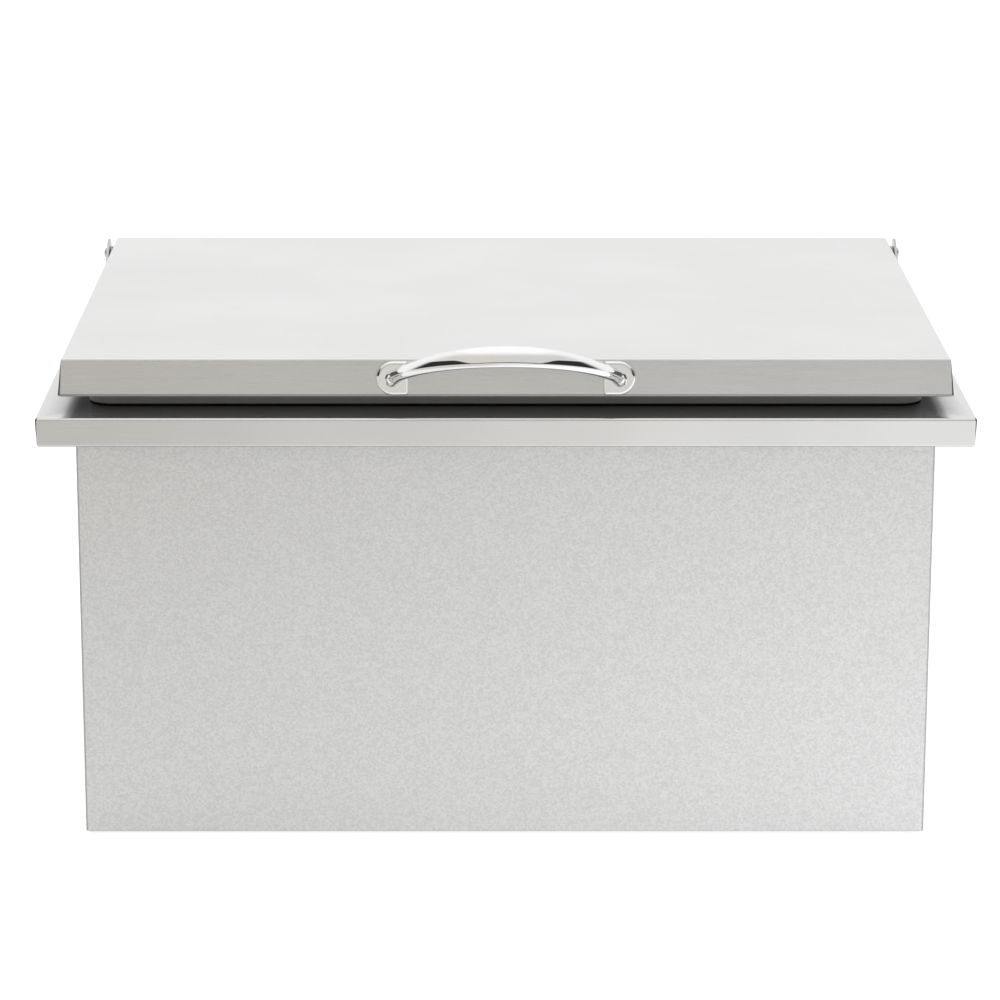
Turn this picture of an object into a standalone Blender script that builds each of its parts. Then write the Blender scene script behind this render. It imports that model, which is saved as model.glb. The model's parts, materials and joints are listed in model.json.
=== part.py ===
"""Drop-in ice bin with a lifting lid, modelled piece by piece at its real size.

A steel rim and an insulated tub hang in a counter cut-out inside a galvanised casing. An insulated
lid turns on two ears at the back, and a cast handle on its front skirt lifts it.
Units are metres. +Z is up, the front is -Y, and the origin is the middle of the base's underside.
"""

import math

import bpy
import bmesh
from mathutils import Matrix, Vector

# Overall sizes
RIM_WIDTH = 0.711
RIM_DEPTH = 0.514
LIP_HEIGHT = 0.0225
LID_INSET = 0.0160
CASING_INSIDE_LID = 0.0118
GAP = 0.0003

# Sheet thicknesses
RIM_SHEET = 0.0015
TUB_SHEET = 0.0012
CASING_SHEET = 0.0010
LID_SHEET = 0.0012
LINER_SHEET = 0.0010
EAR_SHEET = 0.0020

# Rim
RIM_CORNER = 0.0025
RIM_BEND = 0.0020
LIP_DRAFT = 0.0010
LIP_HEM = 0.0100
CURB_HEIGHT = 0.0140

# Rubber seal over the curb, which stands this far inside the lid's edges and bounds the opening
SEAL_SIDE = 0.0195
SEAL_FRONT = 0.0280
SEAL_BACK = 0.0530
SEAL_CORNER = 0.0200
SEAL_LEG = 0.0024
SEAL_INNER_LEG = 0.0022
SEAL_CROWN = 0.0026
SEAL_INNER_DROP = 0.0160
SEAL_EDGE = 0.0012
SEAL_TIP = 0.0005

# Tub
TUB_DEPTH = 0.3050
TUB_DRAFT = 0.0095
TUB_COVE = 0.0200
TUB_FLANGE_BEND = 0.0008
FLOOR_FALL = 0.0055
FLOOR_HEIGHT = 0.0295

# Casing
CASING_BEND = 0.0018
BACK_FLANGE = 0.0200
BASE_FLANGE = 0.0180
WRAP_LIFT = 0.0012
RIVETS_A_SIDE = 3
RIVET_END = 0.0450
RIVET_RADIUS = 0.0020
RIVET_HEAD = 0.0040
RIVET_HEAD_HEIGHT = 0.0012
RIVET_TAIL = 0.0016
PANEL_CORNER = 0.0040

# Drain
DRAIN_Y = 0.0900
RECESS_RADIUS = 0.0345
RECESS_DEPTH = 0.0025
RECESS_SLOPE = 0.0020
DRAIN_FLANGE_RADIUS = 0.0290
DRAIN_FLANGE_HEIGHT = 0.0032
DRAIN_PIPE_RADIUS = 0.0167
DRAIN_BORE = 0.0133
DRAIN_LENGTH = 0.0230
DRAIN_EDGE = 0.0010
SEAT_RADIUS = 0.0256
SEAT_STEP = 0.0017
CUP_RADIUS = 0.0220
CUP_DEPTH = 0.0020
DRAIN_GASKET = 0.0030
DRAIN_WASHER = 0.0010
DRAIN_CLAMP_RADIUS = 0.0240
LOCKNUT_ACROSS = 0.0480
LOCKNUT_HEIGHT = 0.0070
POCKET_RADIUS = 0.0360
STRAINER_SHEET = 0.0012
STRAINER_HOLE = 0.0021
STRAINER_PITCH = 0.0068
STRAINER_RINGS = 3
STRAINER_EDGE = 0.0005

# Lid
LID_LIFT = 0.0132
LID_HEIGHT = 0.0291
LID_DRAFT = 0.0032
LID_CORNER = 0.0034
LID_BEND = 0.0025
LID_HEM = 0.0052
LID_HEM_BEND = 0.0010
LINER_FLANGE_EDGE = 0.0020
LINER_WALL = 0.0058
POCKET_ROOM = 0.0020

# Hinge
PIVOT_HEIGHT = 0.0320
PIVOT_SETBACK = 0.0210
STOP_ANGLE = 102.0
EAR_CLEARANCE = 0.0010
EAR_ROUND = 0.0125
EAR_FRONT = 0.0640
EAR_FRONT_RISE = 0.0060
EAR_FOOT_GAP = 0.0020
STOP_RISE = 0.0012
PIN_RADIUS = 0.0025
PIN_HEAD = 0.0047
PIN_HEAD_HEIGHT = 0.0034
BUSH_WALL = 0.0011
BUSH_FLANGE = 0.0060
BUSH_FLANGE_THICK = 0.0018
RUNNING_GAP = 0.0004
NUT_ACROSS = 0.0080
NUT_HEIGHT = 0.0042
SCREW_TAIL = 0.0015
EAR_SCREW_RADIUS = 0.0024
EAR_SCREW_HEAD = 0.0046
EAR_SCREW_HEAD_HEIGHT = 0.0024
EAR_SCREW_SPACING = 0.0180
EAR_SCREW_FROM_STOP = 0.0120

# Handle
FOOT_INNER = 0.0740
FOOT_OUTER = 0.0980
FOOT_RADIUS = 0.0129
FOOT_THICK = 0.0034
FOOT_EDGE = 0.0014
FOOT_CORNER = 0.0020
FOOT_DROP = 0.0004
BAR_REACH = 0.0446
BAR_RISE = 0.0212
BAR_END_X = 0.0855
BAR_END_WIDTH = 0.0095
BAR_MID_WIDTH = 0.0170
BAR_TAPER = 1.8
BAR_END_THICK = 0.0090
BAR_MID_THICK = 0.0085
BAR_SQUARENESS = 2.5
HANDLE_SCREW_RADIUS = 0.0024
HANDLE_SCREW_HEAD = 0.0045
HANDLE_SCREW_HEAD_HEIGHT = 0.0025
HANDLE_SCREW_GRIP = 0.0075
HANDLE_WASHER_RADIUS = 0.0060
HANDLE_WASHER_THICK = 0.0010

# Shares of a nut's or a head's own height and width
NUT_CHAMFER = 0.12
NUT_FACE = 1.02
HEAD_EDGE = 0.25

# Facets
LEAST_CORNER = 0.0004
SHARP_ANGLE = 32.0
CORNER_STEPS = 5
BEND_STEPS = 3
DOME_STEPS = 3
ROUND_STEPS = 12
RIVET_STEPS = 8
BUSH_STEPS = 16
PIPE_STEPS = 24
BAR_STATIONS = 28
BAR_SIDES = 14

# Sizes, levels and places that follow from the sizes above
DECK_TOP = FLOOR_HEIGHT + FLOOR_FALL + TUB_DEPTH
LID_WIDTH = RIM_WIDTH - 2 * LID_INSET
LID_DEPTH = RIM_DEPTH - 2 * LID_INSET
SEAL_WIDTH = LID_WIDTH - 2 * SEAL_SIDE
SEAL_DEPTH = LID_DEPTH - SEAL_FRONT - SEAL_BACK
LIP_BOTTOM = DECK_TOP - LIP_HEIGHT
DECK_UNDERSIDE = DECK_TOP - RIM_SHEET
CURB_TOP = DECK_TOP + CURB_HEIGHT
FLANGE_BOTTOM = CURB_TOP + GAP
FLANGE_TOP = FLANGE_BOTTOM + TUB_SHEET
SEAL_TOP = FLANGE_TOP + GAP + SEAL_CROWN
FLOOR_EDGE = DECK_TOP - TUB_DEPTH
FLOOR_LOW = FLOOR_EDGE - FLOOR_FALL
RECESS_FLOOR = FLOOR_LOW - RECESS_DEPTH
LID_BOTTOM = DECK_TOP + LID_LIFT
LID_TOP = LID_BOTTOM + LID_HEIGHT
LINER_BOTTOM = SEAL_TOP + GAP
PIVOT_Z = DECK_TOP + PIVOT_HEIGHT
PIVOT_Y = LID_DEPTH / 2 - PIVOT_SETBACK
DRAFT_ANGLE = math.atan2(LID_DRAFT, LID_HEIGHT)
EAR_INNER = LID_WIDTH / 2 + EAR_CLEARANCE
EAR_OUTER = EAR_INNER + EAR_SHEET
DRAIN_CENTRE = (0.0, DRAIN_Y)

# Colour, roughness and metallic value of each finish
STAINLESS = ((0.74, 0.74, 0.74), 0.28, 1.0)
GALVANISED = ((0.62, 0.63, 0.63), 0.45, 1.0)
CHROME = ((0.85, 0.85, 0.86), 0.08, 1.0)
RUBBER = ((0.045, 0.047, 0.050), 0.70, 0.0)
FOAM = ((0.80, 0.72, 0.50), 0.90, 0.0)
BRASS = ((0.72, 0.55, 0.30), 0.30, 1.0)
NYLON = ((0.80, 0.80, 0.77), 0.50, 0.0)


class Outline:
    """A level rectangle with round corners, which the folded and drawn walls follow."""

    def __init__(self, width, depth, corner, centre_y=0.0):
        self.width = width
        self.depth = depth
        self.corner = corner
        self.centre_y = centre_y

    def inset(self, by, back=0.0):
        """The outline moved inwards, and a further amount at the back alone."""
        corner = max(self.corner - by, LEAST_CORNER)
        return Outline(
            self.width - 2 * by, self.depth - 2 * by - back, corner, self.centre_y - back / 2
        )

    def loop(self, z):
        """The outline's points at one height, anticlockwise seen from above."""
        points = []
        for quarter, (side_x, side_y) in enumerate(((1, 1), (-1, 1), (-1, -1), (1, -1))):
            x = side_x * (self.width / 2 - self.corner)
            y = self.centre_y + side_y * (self.depth / 2 - self.corner)
            for step in range(CORNER_STEPS + 1):
                angle = math.pi / 2 * (quarter + step / CORNER_STEPS)
                points.append((x + self.corner * math.cos(angle), y + self.corner * math.sin(angle), z))
        return points


def circle_loop(centre, radius, z, count):
    """A level circle whose points sit evenly, half a step off the axes."""
    points = []
    for i in range(count):
        angle = 2 * math.pi * (i + 0.5) / count
        points.append((centre[0] + radius * math.cos(angle), centre[1] + radius * math.sin(angle), z))
    return points


def loops_along(outline, profile):
    """One loop for each (inset, z) of a wall's section."""
    return [outline.inset(inset).loop(z) for inset, z in profile]


def round_hole(radius, z):
    """A circle about the drain, with as many points as an outline's loop."""
    return circle_loop(DRAIN_CENTRE, radius, z, 4 * (CORNER_STEPS + 1))


def bent(points):
    """A flat run of (a, b, bend radius) points, with an arc in place of each bend."""
    result = []
    for i, (a, b, radius) in enumerate(points):
        here = Vector((a, b))
        if radius == 0 or i in (0, len(points) - 1):
            result.append((a, b))
            continue
        before = (Vector(points[i - 1][:2]) - here).normalized()
        after = (Vector(points[i + 1][:2]) - here).normalized()
        half = before.angle(after) / 2
        centre = here + (before + after).normalized() * radius / math.sin(half)
        start = here + before * radius / math.tan(half) - centre
        end = here + after * radius / math.tan(half) - centre
        sweep = start.angle_signed(end)
        for step in range(BEND_STEPS + 1):
            spoke = Matrix.Rotation(-sweep * step / BEND_STEPS, 2) @ start
            result.append(tuple(centre + spoke))
    return result


def finish(obj, look):
    """Gives the object a material of its own."""
    colour, roughness, metallic = look
    material = bpy.data.materials.new(obj.name + "_finish")
    material.use_nodes = True
    shader = material.node_tree.nodes["Principled BSDF"]
    shader.inputs["Base Color"].default_value = (*colour, 1.0)
    shader.inputs["Roughness"].default_value = roughness
    shader.inputs["Metallic"].default_value = metallic
    obj.data.materials.append(material)


def add_object(name, bm, look):
    """Puts a finished bmesh into the scene as one named object."""
    bmesh.ops.recalc_face_normals(bm, faces=bm.faces)
    mesh = bpy.data.meshes.new(name)
    bm.to_mesh(mesh)
    bm.free()
    mesh.shade_smooth()
    mesh.set_sharp_from_angle(angle=math.radians(SHARP_ANGLE))
    obj = bpy.data.objects.new(name, mesh)
    bpy.context.collection.objects.link(obj)
    if look:
        finish(obj, look)
    return obj


def skin(name, loops, look, ring=False):
    """A closed skin through loops of equal length: a ring, or a run with a face at each end."""
    bm = bmesh.new()
    rows = [[bm.verts.new(point) for point in loop] for loop in loops]
    following = rows[1:] + (rows[:1] if ring else [])
    for low, high in zip(rows, following):
        for i, corner in enumerate(low):
            j = (i + 1) % len(low)
            bm.faces.new((corner, low[j], high[j], high[i]))
    if not ring:
        bm.faces.new(rows[0])
        bm.faces.new(rows[-1])
    return add_object(name, bm, look)


def turned(name, profile, look, ring=False, count=ROUND_STEPS):
    """A turned piece on its own +Z axis, from (radius, height) points."""
    loops = [circle_loop((0, 0), radius, height, count) for radius, height in profile]
    return skin(name, loops, look, ring)


def dome(radius, height):
    """The (radius, height) points of a head that stands on zero: a short edge, then a low dome."""
    edge = height * HEAD_EDGE
    points = [(radius, 0)]
    for step in range(DOME_STEPS + 1):
        angle = math.pi / 2 * step / (DOME_STEPS + 0.5)
        points.append((radius * math.cos(angle), edge + (height - edge) * math.sin(angle)))
    return points


def hexagon_loop(across, height, cut):
    """A hexagon with a point at each corner and flat, its corners brought in to the radius cut."""
    points = []
    for i in range(ROUND_STEPS):
        angle = 2 * math.pi * i / ROUND_STEPS
        radius = across / 2 if i % 2 else across / 2 / math.cos(math.pi / 6)
        radius = min(radius, cut)
        points.append((radius * math.cos(angle), radius * math.sin(angle), height))
    return points


def nut(name, across, height, bore, look):
    """A hexagon nut on its own +Z axis, with both faces chamfered, clear of a rod of the bore."""
    chamfer = height * NUT_CHAMFER
    inner = across / 2 * NUT_FACE
    clear = bore / math.cos(math.pi / ROUND_STEPS)
    loops = [
        hexagon_loop(across, 0, inner),
        hexagon_loop(across, chamfer, across),
        hexagon_loop(across, height - chamfer, across),
        hexagon_loop(across, height, inner),
        circle_loop((0, 0), clear, height, ROUND_STEPS),
        circle_loop((0, 0), clear, 0, ROUND_STEPS),
    ]
    for loop in loops[4:]:
        loop.insert(0, loop.pop())
    return skin(name, loops, look, ring=True)


def prism_along_x(name, outline, x0, x1, look=None):
    """A (y, z) outline drawn out along X."""
    loops = [[(x, y, z) for y, z in outline] for x in (x0, x1)]
    return skin(name, loops, look)


def box(name, low, high, look=None):
    """A square-cornered block between two corners."""
    outline = ((low[1], low[2]), (high[1], low[2]), (high[1], high[2]), (low[1], high[2]))
    return prism_along_x(name, outline, low[0], high[0], look)


def place(obj, location, turn=(0.0, 0.0, 0.0)):
    """Sets where an object stands and how it is turned."""
    obj.location = location
    obj.rotation_euler = turn
    return obj


def combine(target, tool, operation):
    """Cuts or joins with a helper, which stays in the file as a wire."""
    tool.hide_render = True
    tool.display_type = "WIRE"
    modifier = target.modifiers.new(operation.title(), "BOOLEAN")
    modifier.operation = operation
    modifier.solver = "EXACT"
    modifier.object = tool


def drill(target, name, radius, start, end, count=ROUND_STEPS):
    """Bores a round hole through the target from one point to another."""
    start = Vector(start)
    along = Vector(end) - start
    tool = turned(name, ((radius, 0), (radius, along.length)), None, count=count)
    tool.rotation_euler = along.to_track_quat("Z", "Y").to_euler()
    tool.location = start
    combine(target, tool, "DIFFERENCE")


RIM = Outline(RIM_WIDTH, RIM_DEPTH, RIM_CORNER)
LID = Outline(LID_WIDTH, LID_DEPTH, LID_CORNER)
CASING = LID.inset(CASING_INSIDE_LID)
CASING.corner = CASING_BEND
SEAL = Outline(SEAL_WIDTH, SEAL_DEPTH, SEAL_CORNER, (SEAL_FRONT - SEAL_BACK) / 2)
CURB = SEAL.inset(SEAL_LEG + GAP)
TUB = CURB.inset(RIM_SHEET + GAP + TUB_SHEET)
BASE = CASING.inset(CASING_SHEET + GAP, back=CASING_SHEET + GAP)


def rim_deck():
    """Pressed rim: a hemmed lip, the flat deck, and the curb that stands round the opening."""
    hem = LIP_DRAFT + LIP_HEM
    lip = bent((
        (hem, LIP_BOTTOM, 0),
        (LIP_DRAFT, LIP_BOTTOM, RIM_BEND),
        (0, DECK_TOP, RIM_BEND),
        (2 * RIM_BEND, DECK_TOP, 0),
    ))
    curb = (
        (0, DECK_TOP),
        (0, CURB_TOP),
        (RIM_SHEET, CURB_TOP),
        (RIM_SHEET, DECK_UNDERSIDE),
    )
    underside = bent((
        (RIM_SHEET + RIM_BEND, DECK_UNDERSIDE, 0),
        (RIM_SHEET, DECK_UNDERSIDE, RIM_BEND - RIM_SHEET),
        (RIM_SHEET + LIP_DRAFT, LIP_BOTTOM + RIM_SHEET, RIM_BEND - RIM_SHEET),
        (hem, LIP_BOTTOM + RIM_SHEET, 0),
    ))
    loops = loops_along(RIM, lip) + loops_along(CURB, curb) + loops_along(RIM, underside)
    deck = skin("rim_deck", loops, STAINLESS, ring=True)
    for side in (-1, 1):
        for number, y in enumerate(ear_screw_rows()):
            x = side * ear_screw_x()
            drill(deck, f"deck_hole_{side}_{number}", EAR_SCREW_RADIUS + GAP,
                  (x, y, DECK_TOP + RIM_SHEET), (x, y, DECK_UNDERSIDE - RIM_SHEET))


def curb_seal():
    """Rubber channel pushed down over the curb and the tub's flange, which the lid lands on."""
    width = SEAL_LEG + GAP + RIM_SHEET + GAP + TUB_SHEET + GAP + SEAL_INNER_LEG
    section = bent((
        (SEAL_LEG, DECK_TOP + GAP, 0),
        (0, DECK_TOP + GAP, SEAL_TIP),
        (0, SEAL_TOP, SEAL_EDGE),
        (width, SEAL_TOP, SEAL_EDGE),
        (width, SEAL_TOP - SEAL_INNER_DROP, SEAL_TIP),
        (width - SEAL_INNER_LEG, SEAL_TOP - SEAL_INNER_DROP, 0),
    ))
    channel = (
        (width - SEAL_INNER_LEG, FLANGE_TOP + GAP),
        (SEAL_LEG, FLANGE_TOP + GAP),
    )
    skin("curb_seal", loops_along(SEAL, tuple(section) + channel), RUBBER, ring=True)


def tub_section(out, top):
    """The tub's wall and cove, moved outwards by a distance, as (inset, z) points from the top."""
    foot = TUB_DRAFT - out
    floor = FLOOR_EDGE - out
    return bent((
        (-out, top, 0),
        (foot, floor, TUB_COVE + out),
        (foot + 2 * TUB_COVE + 2 * out, floor, 0),
    ))[:-1]


def tub_floor(out):
    """The sloping floor's lower edge and the recess round the drain, moved down by a distance."""
    return [
        round_hole(RECESS_RADIUS + out / 2, FLOOR_LOW - out),
        round_hole(RECESS_RADIUS - RECESS_SLOPE + out / 2, RECESS_FLOOR - out),
    ]


def ice_tub():
    """Drawn tub with coved corners, a floor that falls to the drain, and a flange over the curb."""
    reach = TUB_SHEET + GAP + RIM_SHEET
    hole = DRAIN_PIPE_RADIUS + GAP
    inner = loops_along(TUB, bent((
        (-reach, FLANGE_TOP, 0),
        (0, FLANGE_TOP, TUB_SHEET + TUB_FLANGE_BEND),
        (0, DECK_UNDERSIDE, 0),
    ))[:-1])
    inner += loops_along(TUB, tub_section(0, DECK_UNDERSIDE)) + tub_floor(0)
    inner.append(round_hole(hole, RECESS_FLOOR))
    outer = loops_along(TUB, ((-reach, FLANGE_BOTTOM), (-TUB_SHEET, FLANGE_BOTTOM)))
    outer += loops_along(TUB, tub_section(TUB_SHEET, DECK_UNDERSIDE)) + tub_floor(TUB_SHEET)
    outer.append(round_hole(hole, RECESS_FLOOR - TUB_SHEET))
    skin("ice_tub", inner + outer[::-1], STAINLESS, ring=True)


def foam_insulation():
    """Poured insulation that fills the room between the tub and the casing."""
    out = TUB_SHEET + GAP
    top = DECK_UNDERSIDE - GAP
    bottom = CASING_SHEET + GAP
    inner = loops_along(TUB, tub_section(out, top)) + [
        round_hole(POCKET_RADIUS, FLOOR_LOW - out),
        round_hole(POCKET_RADIUS, bottom),
    ]
    step = CASING_SHEET + GAP
    outer = loops_along(BASE, bent((
        (step + 2 * CASING_BEND, bottom, 0),
        (step, bottom, CASING_BEND),
        (step, BASE_FLANGE + GAP, 0),
    )))
    outer += loops_along(BASE, ((0, BASE_FLANGE + GAP), (0, top)))
    foam = skin("foam_insulation", inner + outer, FOAM, ring=True)
    back = CASING.depth / 2
    tail = back - 2 * CASING_SHEET - 3 * GAP - RIVET_TAIL
    for side in (-1, 1):
        for number, z in enumerate(rivet_rows()):
            x = side * rivet_x()
            drill(foam, f"foam_rivet_hole_{side}_{number}", RIVET_RADIUS + 2 * GAP,
                  (x, back, z), (x, tail, z))


def shell_wrap():
    """Galvanised sheet folded round the left side, the front and the right, with flanges behind."""
    def run(inward):
        x = CASING.width / 2 - inward
        front = -CASING.depth / 2 + inward
        back = CASING.depth / 2 - CASING_SHEET - GAP - inward
        flange = CASING.width / 2 - BACK_FLANGE
        bend = CASING_BEND - inward
        return bent((
            (-flange, back, 0),
            (-x, back, bend),
            (-x, front, bend),
            (x, front, bend),
            (x, back, bend),
            (flange, back, 0),
        ))
    low = WRAP_LIFT
    high = DECK_UNDERSIDE - GAP
    loops = []
    for (ax, ay), (bx, by) in zip(run(0), run(CASING_SHEET)):
        loops.append([(ax, ay, low), (ax, ay, high), (bx, by, high), (bx, by, low)])
    wrap = skin("shell_wrap", loops, GALVANISED)
    rivet_holes(wrap, "wrap")


def rivet_rows():
    """Heights of the rivets, spread evenly between the ends of the casing."""
    top = DECK_UNDERSIDE - RIVET_END
    return [RIVET_END + (top - RIVET_END) * i / (RIVETS_A_SIDE - 1) for i in range(RIVETS_A_SIDE)]


def rivet_x():
    return CASING.width / 2 - BACK_FLANGE / 2


def rivet_holes(target, name):
    """Holes for the rivets through the casing's back."""
    y = CASING.depth / 2
    for side in (-1, 1):
        for number, z in enumerate(rivet_rows()):
            x = side * rivet_x()
            drill(target, f"{name}_rivet_hole_{side}_{number}", RIVET_RADIUS + GAP,
                  (x, y + CASING_SHEET, z), (x, y - 4 * CASING_SHEET, z), RIVET_STEPS)


def back_panel():
    """Flat galvanised sheet that closes the back over the wrap's flanges."""
    x = CASING.width / 2 - CASING_BEND
    back = CASING.depth / 2
    low = WRAP_LIFT
    high = DECK_UNDERSIDE - GAP
    shape = bent((
        (0, low, 0),
        (x, low, PANEL_CORNER),
        (x, high, PANEL_CORNER),
        (-x, high, PANEL_CORNER),
        (-x, low, PANEL_CORNER),
        (0, low, 0),
    ))[:-1]
    loops = [[(px, y, pz) for px, pz in shape] for y in (back, back - CASING_SHEET)]
    panel = skin("back_panel", loops, GALVANISED)
    rivet_holes(panel, "panel")


def shell_rivets():
    """Rivets that hold the back panel to the wrap's flanges."""
    grip = 2 * CASING_SHEET + GAP
    profile = [
        (RIVET_RADIUS, -grip - RIVET_TAIL - GAP),
        (RIVET_RADIUS, 0),
    ] + dome(RIVET_HEAD, RIVET_HEAD_HEIGHT)
    for side, word in ((-1, "left"), (1, "right")):
        for number, z in enumerate(rivet_rows()):
            rivet = turned(f"shell_rivet_{word}_{number + 1}", profile, GALVANISED, count=RIVET_STEPS)
            place(rivet, (side * rivet_x(), CASING.depth / 2 + GAP, z), (-math.pi / 2, 0, 0))


def base_pan():
    """Galvanised bottom tray: flanges turned up inside the wrap, and a hole to reach the drain."""
    outer = bent((
        (0, BASE_FLANGE, 0),
        (0, 0, CASING_BEND),
        (2 * CASING_BEND, 0, 0),
    ))
    inner = bent((
        (2 * CASING_BEND, CASING_SHEET, 0),
        (CASING_SHEET, CASING_SHEET, CASING_BEND - CASING_SHEET),
        (CASING_SHEET, BASE_FLANGE, 0),
    ))
    hole = [round_hole(POCKET_RADIUS, 0), round_hole(POCKET_RADIUS, CASING_SHEET)]
    skin("base_pan", loops_along(BASE, outer) + hole + loops_along(BASE, inner), GALVANISED, ring=True)


def drain_fitting():
    """Drain body through the tub's floor, with the gasket, washer and locknut that clamp it."""
    rim_level = GAP + DRAIN_FLANGE_HEIGHT
    seat = rim_level - SEAT_STEP
    body = turned("drain_body", (
        (DRAIN_FLANGE_RADIUS, GAP),
        (DRAIN_FLANGE_RADIUS, rim_level - DRAIN_EDGE),
        (DRAIN_FLANGE_RADIUS - DRAIN_EDGE, rim_level),
        (SEAT_RADIUS, rim_level),
        (SEAT_RADIUS, seat),
        (CUP_RADIUS, seat),
        (DRAIN_BORE, seat - CUP_DEPTH),
        (DRAIN_BORE, -DRAIN_LENGTH),
        (DRAIN_PIPE_RADIUS - DRAIN_EDGE, -DRAIN_LENGTH),
        (DRAIN_PIPE_RADIUS, -DRAIN_LENGTH + DRAIN_EDGE),
        (DRAIN_PIPE_RADIUS, GAP),
    ), BRASS, ring=True, count=PIPE_STEPS)
    place(body, (0, DRAIN_Y, RECESS_FLOOR))
    level = RECESS_FLOOR - TUB_SHEET
    bore = DRAIN_PIPE_RADIUS + GAP
    rings = (("drain_gasket", DRAIN_GASKET, RUBBER), ("drain_washer", DRAIN_WASHER, GALVANISED))
    for name, thick, look in rings:
        level -= GAP + thick
        ring = turned(name, (
            (DRAIN_CLAMP_RADIUS, 0),
            (DRAIN_CLAMP_RADIUS, thick),
            (bore, thick),
            (bore, 0),
        ), look, ring=True, count=PIPE_STEPS)
        place(ring, (0, DRAIN_Y, level))
    level -= GAP + LOCKNUT_HEIGHT
    locknut = nut("drain_locknut", LOCKNUT_ACROSS, LOCKNUT_HEIGHT, bore, BRASS)
    place(locknut, (0, DRAIN_Y, level))


def drain_strainer():
    """Perforated plate that drops into the drain's seat and lifts out to be cleaned."""
    radius = SEAT_RADIUS - 2 * GAP
    plate = turned("drain_strainer", (
        (radius, 0),
        (radius, STRAINER_SHEET - STRAINER_EDGE),
        (radius - STRAINER_EDGE, STRAINER_SHEET),
    ), STAINLESS, count=PIPE_STEPS)
    level = RECESS_FLOOR + GAP + DRAIN_FLANGE_HEIGHT - SEAT_STEP + GAP
    place(plate, (0, DRAIN_Y, level))
    bm = bmesh.new()
    for ring in range(STRAINER_RINGS + 1):
        count = max(1, 6 * ring)
        away = ring * STRAINER_PITCH
        for i in range(count):
            angle = 2 * math.pi * i / count
            at = Vector((away * math.cos(angle), away * math.sin(angle), 0))
            bmesh.ops.create_cone(
                bm, cap_ends=True, segments=6, radius1=STRAINER_HOLE, radius2=STRAINER_HOLE,
                depth=4 * STRAINER_SHEET, matrix=Matrix.Translation(at))
    holes = add_object("strainer_holes", bm, None)
    place(holes, plate.location)
    combine(plate, holes, "DIFFERENCE")


def lid_pan():
    """Outer lid sheet: a flat top with drafted skirts and a hem turned in along their lower edge."""
    section = bent((
        (LID_DRAFT + 2 * LID_BEND, LID_TOP, 0),
        (LID_DRAFT, LID_TOP, LID_BEND),
        (0, LID_BOTTOM, LID_HEM_BEND),
        (LID_HEM, LID_BOTTOM, 0),
    ))
    inside = bent((
        (LID_HEM, LID_BOTTOM + LID_SHEET, 0),
        (LID_SHEET, LID_BOTTOM + LID_SHEET, 0),
        (LID_DRAFT + LID_SHEET, LID_TOP - LID_SHEET, LID_BEND - LID_SHEET),
        (LID_DRAFT + 2 * LID_BEND, LID_TOP - LID_SHEET, 0),
    ))
    pan = skin("lid_pan", loops_along(LID, section + inside), STAINLESS)
    for side in (-1, 1):
        pivot = (side * (LID_WIDTH / 2 + LID_SHEET), PIVOT_Y, PIVOT_Z)
        inward = (side * (LID_WIDTH / 2 - LID_DRAFT - 2 * LID_SHEET), PIVOT_Y, PIVOT_Z)
        drill(pan, f"pan_pivot_hole_{side}", PIN_RADIUS + GAP, pivot, inward)
        drill(pan, f"pan_handle_hole_{side}", HANDLE_SCREW_RADIUS + GAP,
              on_skirt(side * BAR_END_X, LID_SHEET), on_skirt(side * BAR_END_X, -2 * LID_SHEET))


def lid_liner():
    """Inner lid sheet: a shallow pan whose flange lies on the hem and whose face meets the seal."""
    low = LID_BOTTOM + LID_SHEET + GAP
    face = LINER_WALL + LINER_SHEET
    section = (
        (face, LINER_BOTTOM),
        (face, low),
        (LINER_FLANGE_EDGE, low),
        (LINER_FLANGE_EDGE, low + LINER_SHEET),
        (LINER_WALL, low + LINER_SHEET),
        (LINER_WALL, LINER_BOTTOM + LINER_SHEET),
    )
    skin("lid_liner", loops_along(LID, section), STAINLESS)


def skirt_inset(z):
    """How far the drafted skirt's outer face has moved in at a height."""
    return LID_DRAFT * (z - LID_BOTTOM) / LID_HEIGHT


def lid_foam():
    """Insulation inside the lid, with pockets round the nuts and screws."""
    low = LINER_BOTTOM + LINER_SHEET + GAP
    high = LID_TOP - LID_SHEET - GAP
    inward = LID_SHEET + 2 * GAP
    bend = LID_BEND - LID_SHEET
    section = (
        (skirt_inset(low) + inward, low),
        (skirt_inset(high - bend) + inward, high - bend),
        (skirt_inset(high) + inward + bend, high),
    )
    foam = skin("lid_foam", loops_along(LID, section), FOAM)
    deep = pivot_nut_far() - SCREW_TAIL - POCKET_ROOM
    half = NUT_ACROSS / 2 / math.cos(math.pi / 6) + POCKET_ROOM
    head_depth = LID_SHEET + HANDLE_WASHER_THICK + 2 * GAP + HANDLE_SCREW_HEAD_HEIGHT
    for side, word in ((-1, "left"), (1, "right")):
        pocket = box(f"pivot_pocket_{word}", (deep, PIVOT_Y - half, PIVOT_Z - half),
                     (LID_WIDTH / 2, PIVOT_Y + half, PIVOT_Z + half))
        pocket.data.transform(Matrix.Scale(side, 4, (1, 0, 0)))
        if side < 0:
            pocket.data.flip_normals()
        combine(foam, pocket, "DIFFERENCE")
        drill(foam, f"screw_pocket_{word}", HANDLE_WASHER_RADIUS + 2 * GAP,
              on_skirt(side * BAR_END_X, 0), on_skirt(side * BAR_END_X, -head_depth - POCKET_ROOM))


def on_skirt(x, out):
    """A point level with the handle's feet, this far out from the front skirt's face."""
    z = handle_height()
    y = -LID_DEPTH / 2 + skirt_inset(z)
    return (x, y - out * math.cos(DRAFT_ANGLE), z + out * math.sin(DRAFT_ANGLE))


def handle_height():
    return LID_BOTTOM + LID_HEIGHT / 2 - FOOT_DROP


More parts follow.
